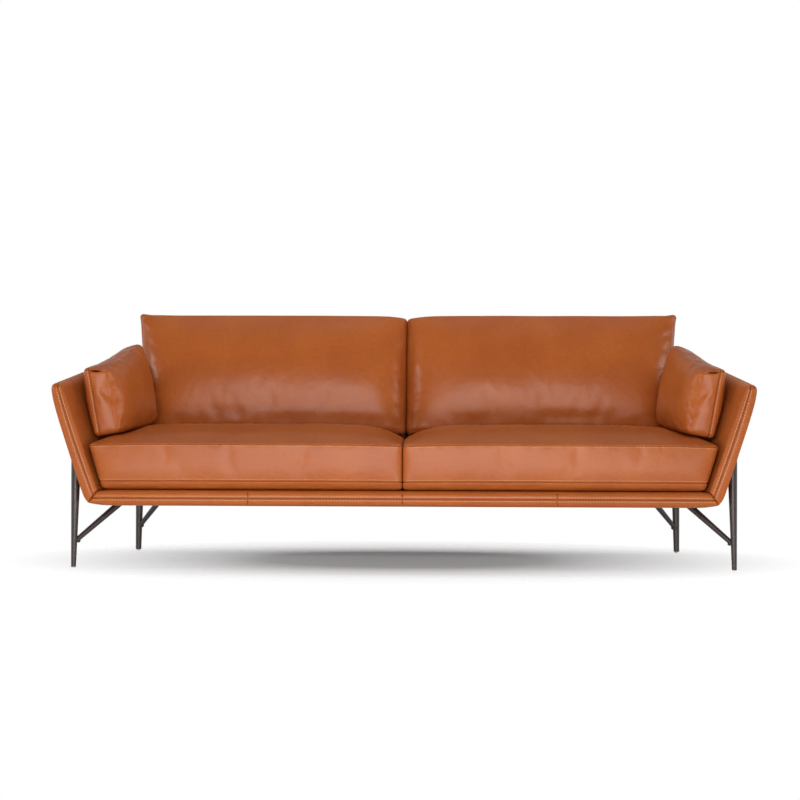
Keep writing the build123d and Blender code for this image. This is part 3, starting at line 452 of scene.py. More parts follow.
def grid(size, pitch, low, high, seams=((), (), ())):
    """Cut lines along the three axes of a box."""
    return [cuts(size[axis], pitch[axis], low[axis], high[axis], *seams[axis]) for axis in range(3)]


def skin_of_box(lines):
    """Closed quad skin of a box, with a grid on each of its six faces. Gives its points and its faces."""
    ends = [len(line) - 1 for line in lines]
    index = {}
    points = []

    def corner(*at):
        if at not in index:
            index[at] = len(points)
            points.append([lines[axis][at[axis]] for axis in range(3)])
        return index[at]

    quads = []
    for axis in range(3):
        one, two = (axis + 1) % 3, (axis + 2) % 3
        for side in (0, ends[axis]):
            for i in range(ends[one]):
                for j in range(ends[two]):
                    ring = []
                    for di, dj in ((0, 0), (1, 0), (1, 1), (0, 1)):
                        at = [side, side, side]
                        at[one], at[two] = i + di, j + dj
                        ring.append(corner(*at))
                    quads.append(ring if side else ring[::-1])
    return np.array(points), quads


def rounded(points, size, low, high):
    """Rounds the box's edges; low and high give the radius at each end of each axis."""
    size, low, high = (np.array(v) for v in (size, low, high))
    inside = np.clip(points, low, size - high)
    off = points - inside
    radius = np.where(points < low, low, high)
    length = np.sqrt(((off / radius) ** 2).sum(axis=1, keepdims=True))
    return inside + off / np.maximum(length, 1)


def inside_out(points, quads):
    """Whether a closed skin's faces look inwards, as they do once a warp has mirrored or swapped its axes."""
    a, b, c, d = (points[np.array(quads)[:, k]] - points[0] for k in range(4))
    return (a * (np.cross(b, c) + np.cross(c, d))).sum() < 0


def put_mesh(name, points, faces, finish):
    mesh = bpy.data.meshes.new(name)
    mesh.from_pydata([tuple(p) for p in points], [], faces)
    mesh.shade_smooth()
    mesh.materials.append(finish)
    made = bpy.data.objects.new(name, mesh)
    bpy.context.collection.objects.link(made)
    return made


def read(what, count, field="co"):
    """One value or point per vertex, from the mesh's vertices or from a named attribute."""
    flat = np.empty(len(what) * count)
    what.foreach_get(field, flat)
    return flat.reshape(-1, count) if count > 1 else flat


def apply_modifiers(piece):
    """Leaves the piece with the mesh that its modifiers give."""
    graph = bpy.context.evaluated_depsgraph_get()
    seen = piece.evaluated_get(graph)
    shaped = bpy.data.meshes.new_from_object(seen, preserve_all_data_layers=True, depsgraph=graph)
    piece.modifiers.clear()
    piece.data = shaped


def inflate(piece, held, slack, cap):
    """Blows the cushion up in its cover: seams and resting faces are held, the leather between them fills."""
    start = read(piece.data.vertices, 3)
    group = piece.vertex_groups.new(name="held")
    for i in np.nonzero(held)[0]:
        group.add([int(i)], float(held[i]), "REPLACE")
    cloth = piece.modifiers.new("fill", "CLOTH")
    cloth.settings.vertex_group_mass = "held"
    cloth.settings.quality = 4
    cloth.settings.mass = 0.4
    cloth.settings.tension_stiffness = cloth.settings.compression_stiffness = FILL_STIFFNESS
    cloth.settings.bending_stiffness = 0.6
    cloth.settings.air_damping = 4
    cloth.settings.use_pressure = True
    cloth.settings.uniform_pressure_force = FILL_PRESSURE
    cloth.settings.shrink_min = -slack
    cloth.settings.effector_weights.gravity = 0
    cloth.collision_settings.use_collision = False
    cloth.point_cache.frame_start = 1
    cloth.point_cache.frame_end = FILL_STEPS
    for step in range(1, FILL_STEPS + 1):
        bpy.context.scene.frame_set(step)
    apply_modifiers(piece)
    bpy.context.scene.frame_set(1)
    piece.vertex_groups.clear()
    move = read(piece.data.vertices, 3) - start
    length = np.linalg.norm(move, axis=1, keepdims=True)
    move *= np.minimum(1, cap / np.maximum(length, 1e-9))
    move[:, 0] = np.clip(move[:, 0], -FILL_SIDEWAYS, FILL_SIDEWAYS)
    piece.data.vertices.foreach_set("co", (start + move).ravel())


def pucker(points, size, seed):
    """Soft lumps of one size, between minus one and one, different for each seed."""
    shift = Vector((seed * 7.3, seed * 3.1, seed * 5.7))
    return np.array([noise.noise(Vector(p) / size + shift) for p in points])


class Sewn:
    """A padded leather piece cut as a box, rounded, warped into place, filled and sewn."""

    def __init__(self, name, size, lines, low, high, warp, side=1, hold=None, fill=(0, 0)):
        self.cut, faces = skin_of_box(lines)
        round_cut = rounded(self.cut, size, low, high)
        points = np.stack(warp(*round_cut.T), axis=1)
        points[:, 0] *= side
        points[:, 1] += FRONT
        if inside_out(points, faces):
            faces = [face[::-1] for face in faces]
        self.piece = put_mesh(name, points, faces, LEATHER)
        pattern = self.piece.data.attributes.new("pattern", "FLOAT_VECTOR", "POINT")
        pattern.data.foreach_set("vector", self.cut.ravel())
        if hold is not None:
            inflate(self.piece, hold(*self.cut.T), *fill)
        self.piece.modifiers.new("smooth", "SUBSURF").levels = 1
        apply_modifiers(self.piece)

    def detail(self, relief, seams, dark=None):
        """Moves the skin along its normals: relief in metres, and a groove where the seam share is one.
        Paints shade into the groove, and where dark gives it, through the seam attribute.
        """
        mesh = self.piece.data
        pattern = read(mesh.attributes["pattern"].data, 3, "vector")
        points = read(mesh.vertices, 3)
        normals = read(mesh.vertex_normals, 3, "vector")
        groove = np.clip(seams(*pattern.T), 0, 1)
        height = relief(*pattern.T, points) - SEAM_DEEP * groove
        mesh.vertices.foreach_set("co", (points + normals * height[:, None]).ravel())
        mesh.attributes.remove(mesh.attributes["pattern"])
        # painted shade for the leather: darker in the seam grooves, and as dark as dark gives
        shade = mesh.attributes.new("seam", "FLOAT", "POINT")
        deep = groove**2 * SEAM_SHADE
        shade.data.foreach_set("value", deep if dark is None else np.maximum(deep, dark(*pattern.T)))
        mesh.update()

    def row(self, along, *fixed):
        """Points and normals on the finished skin, along one cut line; fixed holds (axis, place) pairs."""
        on = np.ones(len(self.cut), bool)
        for axis, place in fixed:
            lines = np.unique(self.cut[:, axis])
            on &= self.cut[:, axis] == lines[np.argmin(np.abs(lines - place))]
        order = np.nonzero(on)[0]
        order = order[np.argsort(self.cut[order, along])]
        mesh = self.piece.data
        return read(mesh.vertices, 3)[order], read(mesh.vertex_normals, 3, "vector")[order]


def stitches(name, rows, body):
    """Lock stitches along rows of points: each a short bead that dips into the leather at its ends."""
    points, faces = [], []
    sides = 5
    for path, normals in rows:
        run = np.concatenate([[0], np.cumsum(np.linalg.norm(np.diff(path, axis=0), axis=1))])
        for start in np.arange(STITCH_PITCH, run[-1] - STITCH_PITCH, STITCH_PITCH):
            begin = np.array([np.interp(start, run, path[:, a]) for a in range(3)])
            end = np.array([np.interp(start + STITCH, run, path[:, a]) for a in range(3)])
            up = np.array([np.interp(start, run, normals[:, a]) for a in range(3)])
            along = end - begin
            across = np.cross(along, up)
            across /= max(np.linalg.norm(across), 1e-9)
            first = len(points)
            for share, fat in ((0.0, 0.35), (0.2, 0.95), (0.8, 0.95), (1.0, 0.35)):
                centre = begin + along * share + up * THREAD * (fat - 0.4)
                for k in range(sides):
                    turn = 2 * math.pi * k / sides
                    points.append(centre + THREAD * fat * (across * math.cos(turn) + up * math.sin(turn)))
            for ring in range(3):
                for k in range(sides):
                    a, b = first + ring * sides + k, first + ring * sides + (k + 1) % sides
                    faces.append((a, a + sides, b + sides, b))
            faces.append(tuple(range(first, first + sides)))
            faces.append(tuple(range(first + 3 * sides, first + 4 * sides))[::-1])
    made = put_mesh(name, points, faces, THREAD_FINISH)
    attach(made, body)


def settle(sewn, body, fill, *nodes):
    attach(sewn.piece, body)
    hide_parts(*nodes)


# Seat cushions
def pillow_foot(t):
    """Height of an arm pillow's foot, which rises to the rear."""
    return PILLOW_FOOT + PILLOW_FOOT_RISE * (t - PILLOW_FRONT) / PILLOW[0]


def sink(x, t, top):
    """The seat's top, pressed down where an arm pillow stands on it."""
    under = pillow_foot(t) + PILLOW_PRESS
    beside = np.clip((x - arm_inner(t, under) + PILLOW_REACH) / PILLOW_EASE[0], 0, 1)
    along = np.clip((t - PILLOW_FRONT + PILLOW_EASE[1]) / PILLOW_EASE[1], 0, 1)
    return top - beside * along * np.maximum(top - under, 0)


def seat_warp(u, v, w):
    share, rise = u / SEAT[0], w / SEAT[2]
    full = swell(share, 6)
    t = SEAT_FRONT + v / SEAT[1] * (BACK_INNER_FOOT + SEAT_REAR_LEAN * rise - SEAT_FRONT)
    seam = SEAT_SEAM - SEAT_SEAM_DIP * (1 - full)
    end = np.where(share < 0.5, SEAT_INNER_CROWN, SEAT_END_CROWN)
    crown = end + (SEAT_CROWN - end) * full
    drop = np.where(share < 0.5, SEAT_INNER_DROP * (1 - full), 0)
    a, b, c = SEAT_FRONT, SEAT_CROWN_DEPTH, REST_DEPTH
    arch = (
        seam * (t - b) * (t - c) / ((a - b) * (a - c))
        + crown * (t - a) * (t - c) / ((b - a) * (b - c))
        + (REST_HEIGHT - drop) * (t - a) * (t - b) / ((c - a) * (c - b))
    )
    top = np.where(t < REST_DEPTH, arch, seat_rest(t) - drop) - FIT
    low = DECK + SEAT_LIFT
    z = low + rise * (top - low)
    straight = arm_inner(t, DECK) - SEAT_SIDE_GAP
    lean = SEAT_END_LEAN * (z - DECK) * np.clip((share - SEAT_END_SHARE) / (1 - SEAT_END_SHARE), 0, 1)
    x = SIDE_GAP + share * (straight - SIDE_GAP) + lean
    z = low + rise * (sink(x, t, top) - low)
    tuck = SEAT_TUCK * np.maximum(0, 1 - w / SEAT_BAND) ** 2 * np.clip(1 - v / SEAT_TUCK_DEPTH, 0, 1)
    bulge = SEAT_FRONT_BULGE * full * np.sin(math.pi * rise) * np.clip(1 - v / SEAT_BULGE_DEPTH, 0, 1)
    return x, t + tuck - bulge, z


def seat_seams(u, v, w):
    edge = np.minimum(np.minimum(u, SEAT[0] - u), v)
    wall = np.clip(1 - (edge - SEAM_EDGE) / SEAM_EDGE, 0, 1)
    top = near(w, SEAT_TOP_SEAM, SEAM_WIDTH) * wall
    band = near(w, SEAT_BAND, SEAM_WIDTH) * wall
    return np.maximum(top, band)


def make_seat(side, hand):
    sewn = ((), (), (SEAT_BAND, SEAT_TOP_SEAM))
    lines = grid(SEAT, SEAT_PITCH, SEAT_LOW, SEAT_HIGH, sewn)

    def hold(u, v, w):
        resting = (w < SEAT_SOLE) | (v > SEAT_HELD_DEPTH) | (u < SEAT_SOLE)
        return np.where(resting, 1.0, np.clip(seat_seams(u, v, w) * FILL_SEAM_HOLD, 0, 1))

    def relief(u, v, w, points):
        edge = np.minimum(np.minimum(u, SEAT[0] - u), v + np.clip(SEAT_WAVE_HEIGHT - w, 0, 1))
        size, height = SEAT_WAVES
        soft = pucker(points, size, side + 3) * height * np.clip(edge / SEAT_WAVE_EDGE, 0, 1)
        size, height = SEAT_GATHERS
        by_seam = near(w, SEAT_TOP_SEAM, SEAT_GATHER_REACH) * height
        by_seam = by_seam * np.clip(u / SEAT_GATHER_EDGE, 0, 1)
        drawn = pucker(points * SEAT_GATHER_DRAW, size, side + 9) * by_seam
        return np.where((w < SEAT_SOLE) | (v > SEAT_HELD_DEPTH), 0, soft + drawn)

    name = f"seat_cushion_{hand}"
    seat = Sewn(name, SEAT, lines, SEAT_LOW, SEAT_HIGH, seat_warp, side, hold, SEAT_FILL)
    seat.detail(relief, seat_seams)
    settle(seat, f"seat_{hand}", 0.8, f"seat_cover_{hand}", f"seat_core_{hand}")
    heights = (SEAT_TOP_SEAM - STITCH_OFFSET, SEAT_BAND + STITCH_OFFSET)
    rows = [seat.row(0, (1, 0.0), (2, height)) for height in heights]
    stitches(f"seat_stitching_{hand}", rows, f"seat_{hand}")


# Back cushions
def back_warp(u, v, w):
    share, through, rise = u / BACK[0], v / BACK[1], w / BACK[2]
    full = 0.4 * swell(share) + 0.6 * swell(share, 14)
    foot = BACK_FRONT_FOOT + BACK_RECESS * (1 - full)
    low_depth = foot + through * (back_inner(seat_rest(BACK_FOOT_REAR)) - foot)
    low = seat_rest(low_depth) + FIT
    dip = BACK_DIP * near(share, 0, BACK_DIP_WIDE) * np.clip(rise * 3 - 2, 0, 1)
    broad, tip = BACK_EAR_WIDE
    ear = BACK_EAR[0] * near(share, 1, broad) + BACK_EAR[1] * near(share, 1, tip)
    z = low + rise * (BACK_TOP + BACK_CROWN * full + ear - dip - low)
    front = foot + (BACK_FRONT_HEAD - BACK_FRONT_FOOT) * rise
    front = front - (BACK_FLAT_BULGE + BACK_BULGE * full) * 4 * rise * (1 - rise)
    t = front + through * (back_inner(z) - FIT - front)
    beside = arm_inner(back_inner(REST_HEIGHT), REST_HEIGHT) - BACK_END_GAP
    outer = beside + BACK_END_LEAN * (z - REST_HEIGHT)
    return SIDE_GAP + share * (outer - SIDE_GAP), t, z


def back_seams(u, v, w):
    edge = np.minimum(np.minimum(u, BACK[0] - u), BACK[2] - w)
    return near(v, BACK_SEAM, SEAM_WIDTH) * np.clip(1 - edge / SEAM_EDGE, 0, 1)


def make_back_cushion(side, hand):
    sewn = ((), (BACK_SEAM,), ())
    lines = grid(BACK, BACK_PITCH, BACK_LOW, BACK_HIGH, sewn)

    def hold(u, v, w):
        top_edge = (w > BACK[2] - BACK_TOP_HELD) & (v > BACK_SEAM / 2)
        resting = (v > BACK[1] - BACK_HELD) | (w < BACK_SOLE) | (u < BACK_INNER_HELD) | top_edge
        return np.where(resting, 1.0, np.clip(back_seams(u, v, w) * FILL_SEAM_HOLD, 0, 1))

    def relief(u, v, w, points):
        on_front = np.clip(1 - v / BACK_FACE, 0, 1)
        size, height = BACK_WAVES
        soft = pucker(points, size, side + 21) * height * on_front
        edge = np.minimum(u, BACK[0] - u)
        size, height = BACK_CREASES
        slant = pucker(np.stack([u * 0.35 + w * 0.5, v, w - u * 0.6], axis=1), size, side + 30)
        drawn = slant * near(edge, BACK_CREASE_REACH, BACK_CREASE_REACH) * height * on_front
        size, height = BACK_FOLDS
        fold = pucker(points * BACK_FOLD_DRAW, size, side + 41)
        fold = fold * near(w, BACK_FOLD_HEIGHT, BACK_FOLD_HEIGHT) * height * on_front
        corner = near(edge, 0.0, BACK_EAR_REACH) * near(w, BACK[2], BACK_EAR_REACH)
        ear = BACK_EAR[1] * corner * (u > BACK[0] / 2)
        return np.where((v > BACK[1] - BACK_HELD) | (w < BACK_SOLE), 0, soft + drawn + fold + ear)

    name = f"back_cushion_{hand}"
    back = Sewn(name, BACK, lines, BACK_LOW, BACK_HIGH, back_warp, side, hold, BACK_FILL)
    back.detail(relief, back_seams)
    settle(back, name, 0.7, f"back_cushion_cover_{hand}", f"back_cushion_core_{hand}")
    rows = [back.row(0, (2, BACK[2]), (1, BACK_SEAM + STITCH_OFFSET))]
    stitches(f"back_cushion_stitching_{hand}", rows, name)


# Arm pillows
def pillow_warp(u, v, w):
    share, through, rise = u / PILLOW[0], v / PILLOW[1], w / PILLOW[2]
    full = swell(share)
    t = PILLOW_FRONT + u
    corner = PILLOW_CORNER * (1 - full)
    foot = pillow_foot(t) + corner
    head = foot + PILLOW_TALL + PILLOW_HEAD_RISE * share - 2 * corner
    tilt = PILLOW_TILT * (1 - rise) + PILLOW_HEAD_TILT * share * rise
    z = foot + rise * (head - foot) + (1 - through) * tilt
    z = z - PILLOW_SAG * (4 * share * (1 - share) + PILLOW_SAG_REAR * share) * through * rise**2
    foot_x = arm_inner(t, foot) - PILLOW_FOOT_IN
    head_x = arm_inner(t, head) - PILLOW_HEAD_IN
    half = PILLOW_GUSSET / 2 + PILLOW_BULGE * full * (1 - (2 * rise - 1) ** 2) - FIT
    return foot_x + rise * (head_x - foot_x) + (2 * through - 1) * half, t, z


def pillow_seams(u, v, w):
    edge = np.minimum(np.minimum(u, PILLOW[0] - u), np.minimum(w, PILLOW[2] - w))
    gusset = np.clip(1 - edge / SEAM_EDGE, 0, 1)
    return near(v, PILLOW_SEAM, SEAM_WIDTH) * gusset


def make_pillow(side, hand):
    sewn = ((), (PILLOW_SEAM,), (FLAP_HEIGHT,))
    lines = grid(PILLOW, PILLOW_PITCH, PILLOW_LOW, PILLOW_HIGH, sewn)

    def hold(u, v, w):
        resting = (v > PILLOW[1] - PILLOW_HELD) | (w < PILLOW_SOLE)
        return np.where(resting, 1.0, np.clip(pillow_seams(u, v, w) * FILL_SEAM_HOLD, 0, 1))

    def slit(u, v, w):
        """The open fold under the flap, an almond across the top of the front gusset: dented in, and painted
        dark as shade.
        """
        across = (v - PILLOW[1] * 0.5) / (PILLOW[1] * SLIT_WIDE)
        tall = SLIT_TALL * np.clip(1 - across**2, 0.02, 1)
        open_share = np.clip(1.6 - np.abs(w - FLAP_HEIGHT) / tall, 0, 1)
        between_ends = np.clip(4 - 4 * np.abs(across), 0, 1)
        return open_share * between_ends * np.clip(1 - u / SLIT_REACH, 0, 1)

    def relief(u, v, w, points):
        on_face = np.clip(1 - v / PILLOW_FACE, 0, 1)
        size, height = PILLOW_WAVES
        soft = pucker(points, size, side + 51) * height * on_face
        edge = np.minimum(np.minimum(u, PILLOW[0] - u), np.minimum(w, PILLOW[2] - w))
        size, height = PILLOW_GATHERS
        drawn = pucker(points, size, side + 61) * near(edge, *PILLOW_GATHER_REACH) * height * on_face
        middle = near(v, PILLOW[1] / 2, PILLOW[1] * PILLOW_FOLD_WIDE)
        on_gusset = np.clip(1 - u / SEAM_EDGE, 0, 1) * middle
        size, height = PILLOW_FOLDS
        fold = pucker(points, size, side + 71) * height * on_gusset
        flap = FLAP * near(w, PILLOW[2], FLAP_TALL) * on_gusset - SLIT_DEEP * slit(u, v, w)
        return np.where(v > PILLOW[1] - PILLOW_HELD, 0, soft + drawn + fold + flap)

    name = f"pillow_{hand}"
    shape = (PILLOW, lines, PILLOW_LOW, PILLOW_HIGH, pillow_warp)
    pillow = Sewn(f"arm_{name}", *shape, side, hold, PILLOW_FILL)
    # the slit is dented and also painted dark, as painted shade in the fold
    pillow.detail(relief, pillow_seams, slit)
    settle(pillow, name, 0.7, f"pillow_cover_{hand}", f"pillow_core_{hand}")
    rows = [pillow.row(2, (0, 0.0), (1, PILLOW_SEAM + STITCH_OFFSET))]
    stitches(f"pillow_stitching_{hand}", rows, name)


# Shell: arms, back wall, front border, deck and welds
def mitre_height(through):
    """Height over the underside of the mitre between an arm and the border, from inside to outside."""
    return (1 - through) * (DECK - UNDERSIDE)


def round_foot(x, t, z):
    """Rounds the shell's outer lower corner, most at the front. Points are on the right-hand side."""
    radius = CORNER_ROUND[0] + CORNER_ROUND[1] * np.clip(1 - t / CORNER_DEEP, 0, 1)
    across = np.maximum(radius - (arm_outer(t, z) - x), 0)
    down = np.maximum(radius - (z - UNDERSIDE), 0)
    far = np.maximum(np.hypot(across, down) / radius, 1)
    return x - across * (1 - 1 / far), t, z + down * (1 - 1 / far)


def arm_warp(u, v, w):
    through, share, rise = u / ARM[0], v / ARM[1], w / ARM[2]
    z = UNDERSIDE + rise * (ARM_HEIGHT - UNDERSIDE)
    for _ in range(3):
        t = share * (back_inner(z) + through * (back_outer(z) - back_inner(z)) - JOIN)
        low = UNDERSIDE + mitre_height(through) * np.clip((BORDER_DEEP - t) / MITRE_EASE, 0, 1)
        z = low + rise * (ARM_HEIGHT + ARM_RISE * t - low)
    bow = ARM_BOW * 4 * rise * (1 - rise) - ARM_CREST_IN * rise**4
    x = arm_inner(t, z) + through * (arm_outer(t, z) + bow - arm_inner(t, z))
    return round_foot(x, t, z)


def arm_seams(u, v, w):
    front = np.clip(1 - (v - SEAM_EDGE) / SEAM_EDGE, 0, 1)
    top = np.clip(1 - (ARM[2] - w - SEAM_EDGE) / SEAM_EDGE, 0, 1)
    return near(u, ARM_SEAM, SEAM_WIDTH) * np.maximum(front, top)


def make_arm(side, hand):
    sewn = ((ARM_SEAM,), (), ())
    lines = grid(ARM, ARM_PITCH, ARM_LOW, ARM_HIGH, sewn)

    def relief(u, v, w, points):
        panel = np.clip(v / PANEL_EDGE, 0, 1) * np.clip((ARM[1] - v) / PANEL_EDGE, 0, 1)
        panel = panel * np.clip((ARM[2] - w) / PANEL_EDGE, 0, 1) * np.clip(w / PANEL_EDGE, 0, 1)
        size, height = ARM_WAVES
        return pucker(points, size, side + 81) * height * panel

    arm = Sewn(f"arm_{hand}_upholstery", ARM, lines, ARM_LOW, ARM_HIGH, arm_warp, side)
    arm.detail(relief, arm_seams)
    settle(arm, "shell", 0.9, f"arm_cover_{hand}", f"arm_foam_{hand}")
    rows = []
    for step in (-STITCH_OFFSET, STITCH_OFFSET):
        rows.append(arm.row(2, (1, 0.0), (0, ARM_SEAM + step)))
        rows.append(arm.row(1, (2, ARM[2]), (0, ARM_SEAM + step)))
    stitches(f"arm_stitching_{hand}", rows, "shell")


def wall_warp(u, v, w):
    share, through, rise = u / WALL[0], v / WALL[1], w / WALL[2]
    z = UNDERSIDE + rise * (BACK_HEIGHT - UNDERSIDE)
    t = back_inner(z) + through * (back_outer(z) - back_inner(z))
    half = arm_inner(t, z) + through * (arm_outer(t, z) - arm_inner(t, z))
    half = half + WALL_TUCK * (1 - through) - JOIN
    return (2 * share - 1) * half, t, z


def make_back_wall():
    places = [WALL[0] / 2 + x for x in PANEL_SEAMS]
    sewn = (places, (WALL[1] / 2,), ())
    lines = grid(WALL, WALL_PITCH, WALL_LOW, WALL_HIGH, sewn)

    def seams(u, v, w):
        top = np.clip(1 - (WALL[2] - w - SEAM_EDGE) / SEAM_EDGE, 0, 1)
        joined = sum(near(u, place, SEAM_WIDTH) for place in places) * (v > WALL[1] / 2)
        return np.maximum(near(v, WALL[1] / 2, SEAM_WIDTH) * top, joined)

    def relief(u, v, w, points):
        panel = np.clip((WALL[2] - w) / PANEL_EDGE, 0, 1) * np.clip(w / PANEL_EDGE, 0, 1)
        size, height = WALL_WAVES
        return pucker(points, size, 91) * height * panel * (v > WALL[1] / 2)

    wall = Sewn("back_wall_upholstery", WALL, lines, WALL_LOW, WALL_HIGH, wall_warp)
    wall.detail(relief, seams)
    settle(wall, "shell", 0.9, "back_cover", "back_foam")
    steps = (-STITCH_OFFSET, STITCH_OFFSET)
    rows = [wall.row(0, (2, WALL[2]), (1, WALL[1] / 2 + step)) for step in steps]
    for place in places:
        rows += [wall.row(2, (1, WALL[1]), (0, place + step)) for step in steps]
    stitches("back_wall_stitching", rows, "shell")


def border_warp(u, v, w):
    z = UNDERSIDE + w
    through = 1 - w / BORDER[2]
    half = arm_inner(v, z) + through * (arm_outer(v, z) - arm_inner(v, z)) - FIT
    side = 2 * u / BORDER[0] - 1
    straight, bent = BORDER_ENDS
    reach = np.clip((np.abs(side) - straight) / bent, 0, 1)
    x, t, z = round_foot(np.abs(side) * BORDER[0] / 2 + reach * (half - BORDER[0] / 2), v, z)
    return np.sign(side) * x, t, z


def make_border():
    places = [BORDER[0] / 2 + x for x in PANEL_SEAMS]
    sewn = (places, (), (BORDER[2] / 2,))
    lines = grid(BORDER, BORDER_PITCH, BORDER_LOW, BORDER_HIGH, sewn)

    def seams(u, v, w):
        front = np.clip(1 - (v - SEAM_EDGE) / SEAM_EDGE, 0, 1)
        joined = sum(near(u, place, SEAM_WIDTH) for place in places)
        return np.maximum(near(w, BORDER[2] / 2, SEAM_WIDTH), joined) * front

    def relief(u, v, w, points):
        size, height = BORDER_WAVES
        below_top = np.clip((BORDER[2] - w) / BORDER_WAVE_TOP, 0, 1)
        return pucker(points, size, 97) * height * below_top * np.clip(1 - v / BORDER_WAVE_DEPTH, 0, 1)

    border = Sewn("front_border_upholstery", BORDER, lines, BORDER_LOW, BORDER_HIGH, border_warp)
    border.detail(relief, seams)
    settle(border, "shell", 0.9, "border_cover", "border_foam")
    steps = (-STITCH_OFFSET, STITCH_OFFSET)
    rows = [border.row(0, (1, 0.0), (2, BORDER[2] / 2 + step)) for step in steps]
    stitches("border_stitching", rows, "shell")


def make_deck():
    """Lined pad under the seat cushions, seen once they are pulled out."""
    low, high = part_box("deck_pad")
    deep, tall = high[1] - low[1], high[2] - low[2]
    size = (DECK_CUT, deep, tall)

    def warp(u, v, w):
        t = low[1] - FRONT + v
        x = (2 * u / size[0] - 1) * (arm_inner(t, low[2] + w) - DECK_GAP)
        pitch, height = DECK_QUILT
        on_top = w > tall / 2
        quilt = height * np.sin(u * 2 * math.pi / pitch) * np.sin(v * 2 * math.pi / pitch) * on_top
        return x, t, low[2] + w - DECK_SINK * on_top + quilt

    lines = grid(size, (DECK_PITCH, DECK_PITCH, tall / 3), DECK_ROUND, DECK_ROUND)
    deck = Sewn("lined_deck", size, lines, DECK_ROUND, DECK_ROUND, warp)
    deck.piece.data.materials[0] = DECK_CLOTH
    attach(deck.piece, "shell")
    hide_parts("deck_pad")


def make_weld(name, node_brace):
    """Fillet of weld where a brace leaves its leg: a lumpy ring round the brace's foot."""
    low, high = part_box(node_brace)
    brace = frame["nodes"][node_brace].data
    points = read(brace.vertices, 3)
    foot = points[points[:, 2] < low[2] + BRACE_END].mean(axis=0)
    head = points[points[:, 2] > high[2] - BRACE_END].mean(axis=0)
    along = Vector(head - foot).normalized()
    across = along.orthogonal().normalized()
    third = along.cross(across)
    centre = Vector(foot) + along * WELD_UP
    ring, faces = [], []
    turns, around = 28, 8
    for i in range(turns):
        turn = 2 * math.pi * i / turns
        out = across * math.cos(turn) + third * math.sin(turn)
        fat = WELD_FAT[0] + WELD_FAT[1] * math.sin(turn * WELD_RIPPLES)
        for k in range(around):
            swing = 2 * math.pi * k / around
            far = WELD_RING + fat * math.cos(swing)
            ring.append(centre + out * far + along * fat * WELD_LONG * math.sin(swing))
    for i in range(turns):
        for k in range(around):
            a, b = i * around, (i + 1) % turns * around
            faces.append((b + k, b + (k + 1) % around, a + (k + 1) % around, a + k))
    bead = put_mesh(name, ring, faces, STEEL)
    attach(bead, "shell")


# Finishes of the pieces that show as they are in the frame
for part in frame["record"]["subparts"]:
    data = frame["nodes"][part["node"]].data
    data.materials.clear()
    data.materials.append(FINISHES[part["material_slot"]])

for side, hand in ((1, "right"), (-1, "left")):
    make_seat(side, hand)
    make_back_cushion(side, hand)
    make_pillow(side, hand)
    make_arm(side, hand)
    for end in ("front", "rear"):
        make_weld(f"weld_{end}_{hand}", f"brace_{end}_{hand}")
make_back_wall()
make_border()
make_deck()


# Studio: white floor and background, broad soft lamps, the photograph's camera
def make_floor():
    """White floor that keeps the sofa's shadow, and fades into the white background round it."""
    made, tree, skin = material("white_studio_floor")
    skin.inputs["Base Color"].default_value = colour("#F4F4F5")
    skin.inputs["Roughness"].default_value = 0.9
    skin.inputs["Emission Color"].default_value = (1, 1, 1, 1)
    path = node(tree, "ShaderNodeLightPath", {})
    rays = {0: path.outputs["Is Camera Ray"], 1: path.outputs["Is Glossy Ray"]}
    seen = node(tree, "ShaderNodeMath", rays, operation="MAXIMUM")
    rays = {0: seen.outputs[0], 1: path.outputs["Is Transmission Ray"]}
    seen = node(tree, "ShaderNodeMath", rays, operation="MAXIMUM")
    lift = node(tree, "ShaderNodeMath", {0: seen.outputs[0], 1: FLOOR_LIFT}, operation="MULTIPLY")
    tree.links.new(lift.outputs[0], skin.inputs["Emission Strength"])
    place = node(tree, "ShaderNodeTexCoord", {}).outputs["Object"]
    wide, deep = FLOOR_OVAL
    oval = node(tree, "ShaderNodeMapping", {"Vector": place, "Scale": (1 / wide, 1 / deep, 1)})
    far = node(tree, "ShaderNodeVectorMath", {0: oval.outputs[0]}, operation="LENGTH")
    ends = {"Value": far.outputs["Value"], "From Min": FLOOR_FADE[0], "From Max": FLOOR_FADE[1]}
    fade = node(tree, "ShaderNodeMapRange", ends)
    fade = node(tree, "ShaderNodeMath", {0: fade.outputs[0], 1: seen.outputs[0]}, operation="MULTIPLY")
    clear = node(tree, "ShaderNodeBsdfTransparent", {})
    mix = node(tree, "ShaderNodeMixShader", {0: fade.outputs[0], 1: skin.outputs[0], 2: clear.outputs[0]})
    tree.links.new(mix.outputs[0], tree.nodes["Material Output"].inputs["Surface"])
    sides = ((-1, -1), (1, -1), (1, 1), (-1, 1))
    corners = [(x * FLOOR_REACH, y * FLOOR_REACH, -FLOOR_DROP) for x, y in sides]
    put_mesh("studio_floor", corners, [(0, 1, 2, 3)], made)


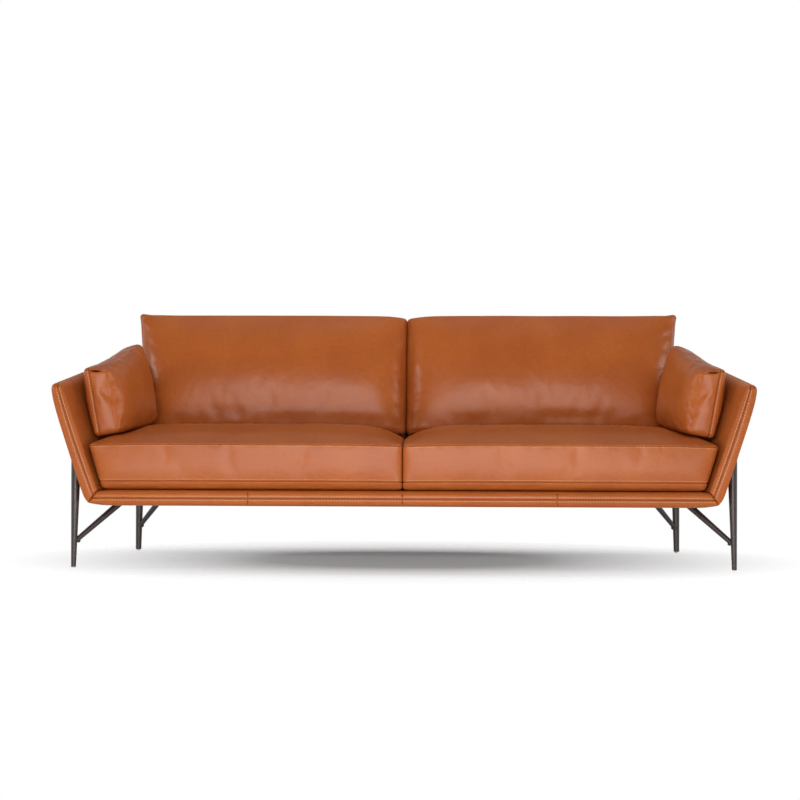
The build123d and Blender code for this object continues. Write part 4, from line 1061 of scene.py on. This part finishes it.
def make_lamp(name, place, target, size, power, gloss):
    data = bpy.data.lights.new(name, "AREA")
    data.shape = "RECTANGLE"
    data.size, data.size_y = size
    data.energy = power
    lamp = bpy.data.objects.new(name, data)
    lamp.location = place
    lamp.rotation_euler = (Vector(target) - Vector(place)).to_track_quat("-Z", "Y").to_euler()
    lamp.visible_camera = False
    lamp.visible_glossy = gloss
    bpy.context.collection.objects.link(lamp)


def make_studio():
    make_floor()
    for lamp in LAMPS:
        make_lamp(*lamp)
    world = bpy.data.worlds.new("white_studio")
    bpy.context.scene.world = world
    world.use_nodes = True
    tree = world.node_tree
    path = node(tree, "ShaderNodeLightPath", {})
    # gloss sees the white backdrop up to about 9 degrees, fading to a dim ceiling at 30
    way = node(tree, "ShaderNodeTexCoord", {}).outputs["Generated"]
    height = node(tree, "ShaderNodeSeparateXYZ", {"Vector": way}).outputs["Z"]
    start, stop = BACKDROP_TOP
    ends = {"Value": height, "From Min": start, "From Max": stop, "To Min": 1.0, "To Max": CEILING}
    low = node(tree, "ShaderNodeMapRange", ends)
    rays = {0: path.outputs["Is Glossy Ray"], 1: low.outputs[0]}
    glossy = node(tree, "ShaderNodeMath", rays, operation="MULTIPLY")
    rays = {0: path.outputs["Is Camera Ray"], 1: glossy.outputs[0]}
    seen = node(tree, "ShaderNodeMath", rays, operation="MAXIMUM")
    rays = {0: seen.outputs[0], 1: path.outputs["Is Transmission Ray"]}
    seen = node(tree, "ShaderNodeMath", rays, operation="MAXIMUM")
    white = {"Value": seen.outputs[0], "To Min": WORLD_FILL, "To Max": 1.0}
    strength = node(tree, "ShaderNodeMapRange", white)
    sky = tree.nodes["Background"]
    sky.inputs["Color"].default_value = (1, 1, 1, 1)
    tree.links.new(strength.outputs[0], sky.inputs["Strength"])
    data = bpy.data.cameras.new("photo_camera")
    data.lens = LENS
    camera = bpy.data.objects.new("photo_camera", data)
    camera.location = CAMERA
    camera.rotation_euler = (math.pi / 2, CAMERA_ROLL, CAMERA_TURN)
    bpy.context.collection.objects.link(camera)
    bpy.context.scene.camera = camera
    bpy.context.scene.view_settings.view_transform = "Standard"


make_studio()
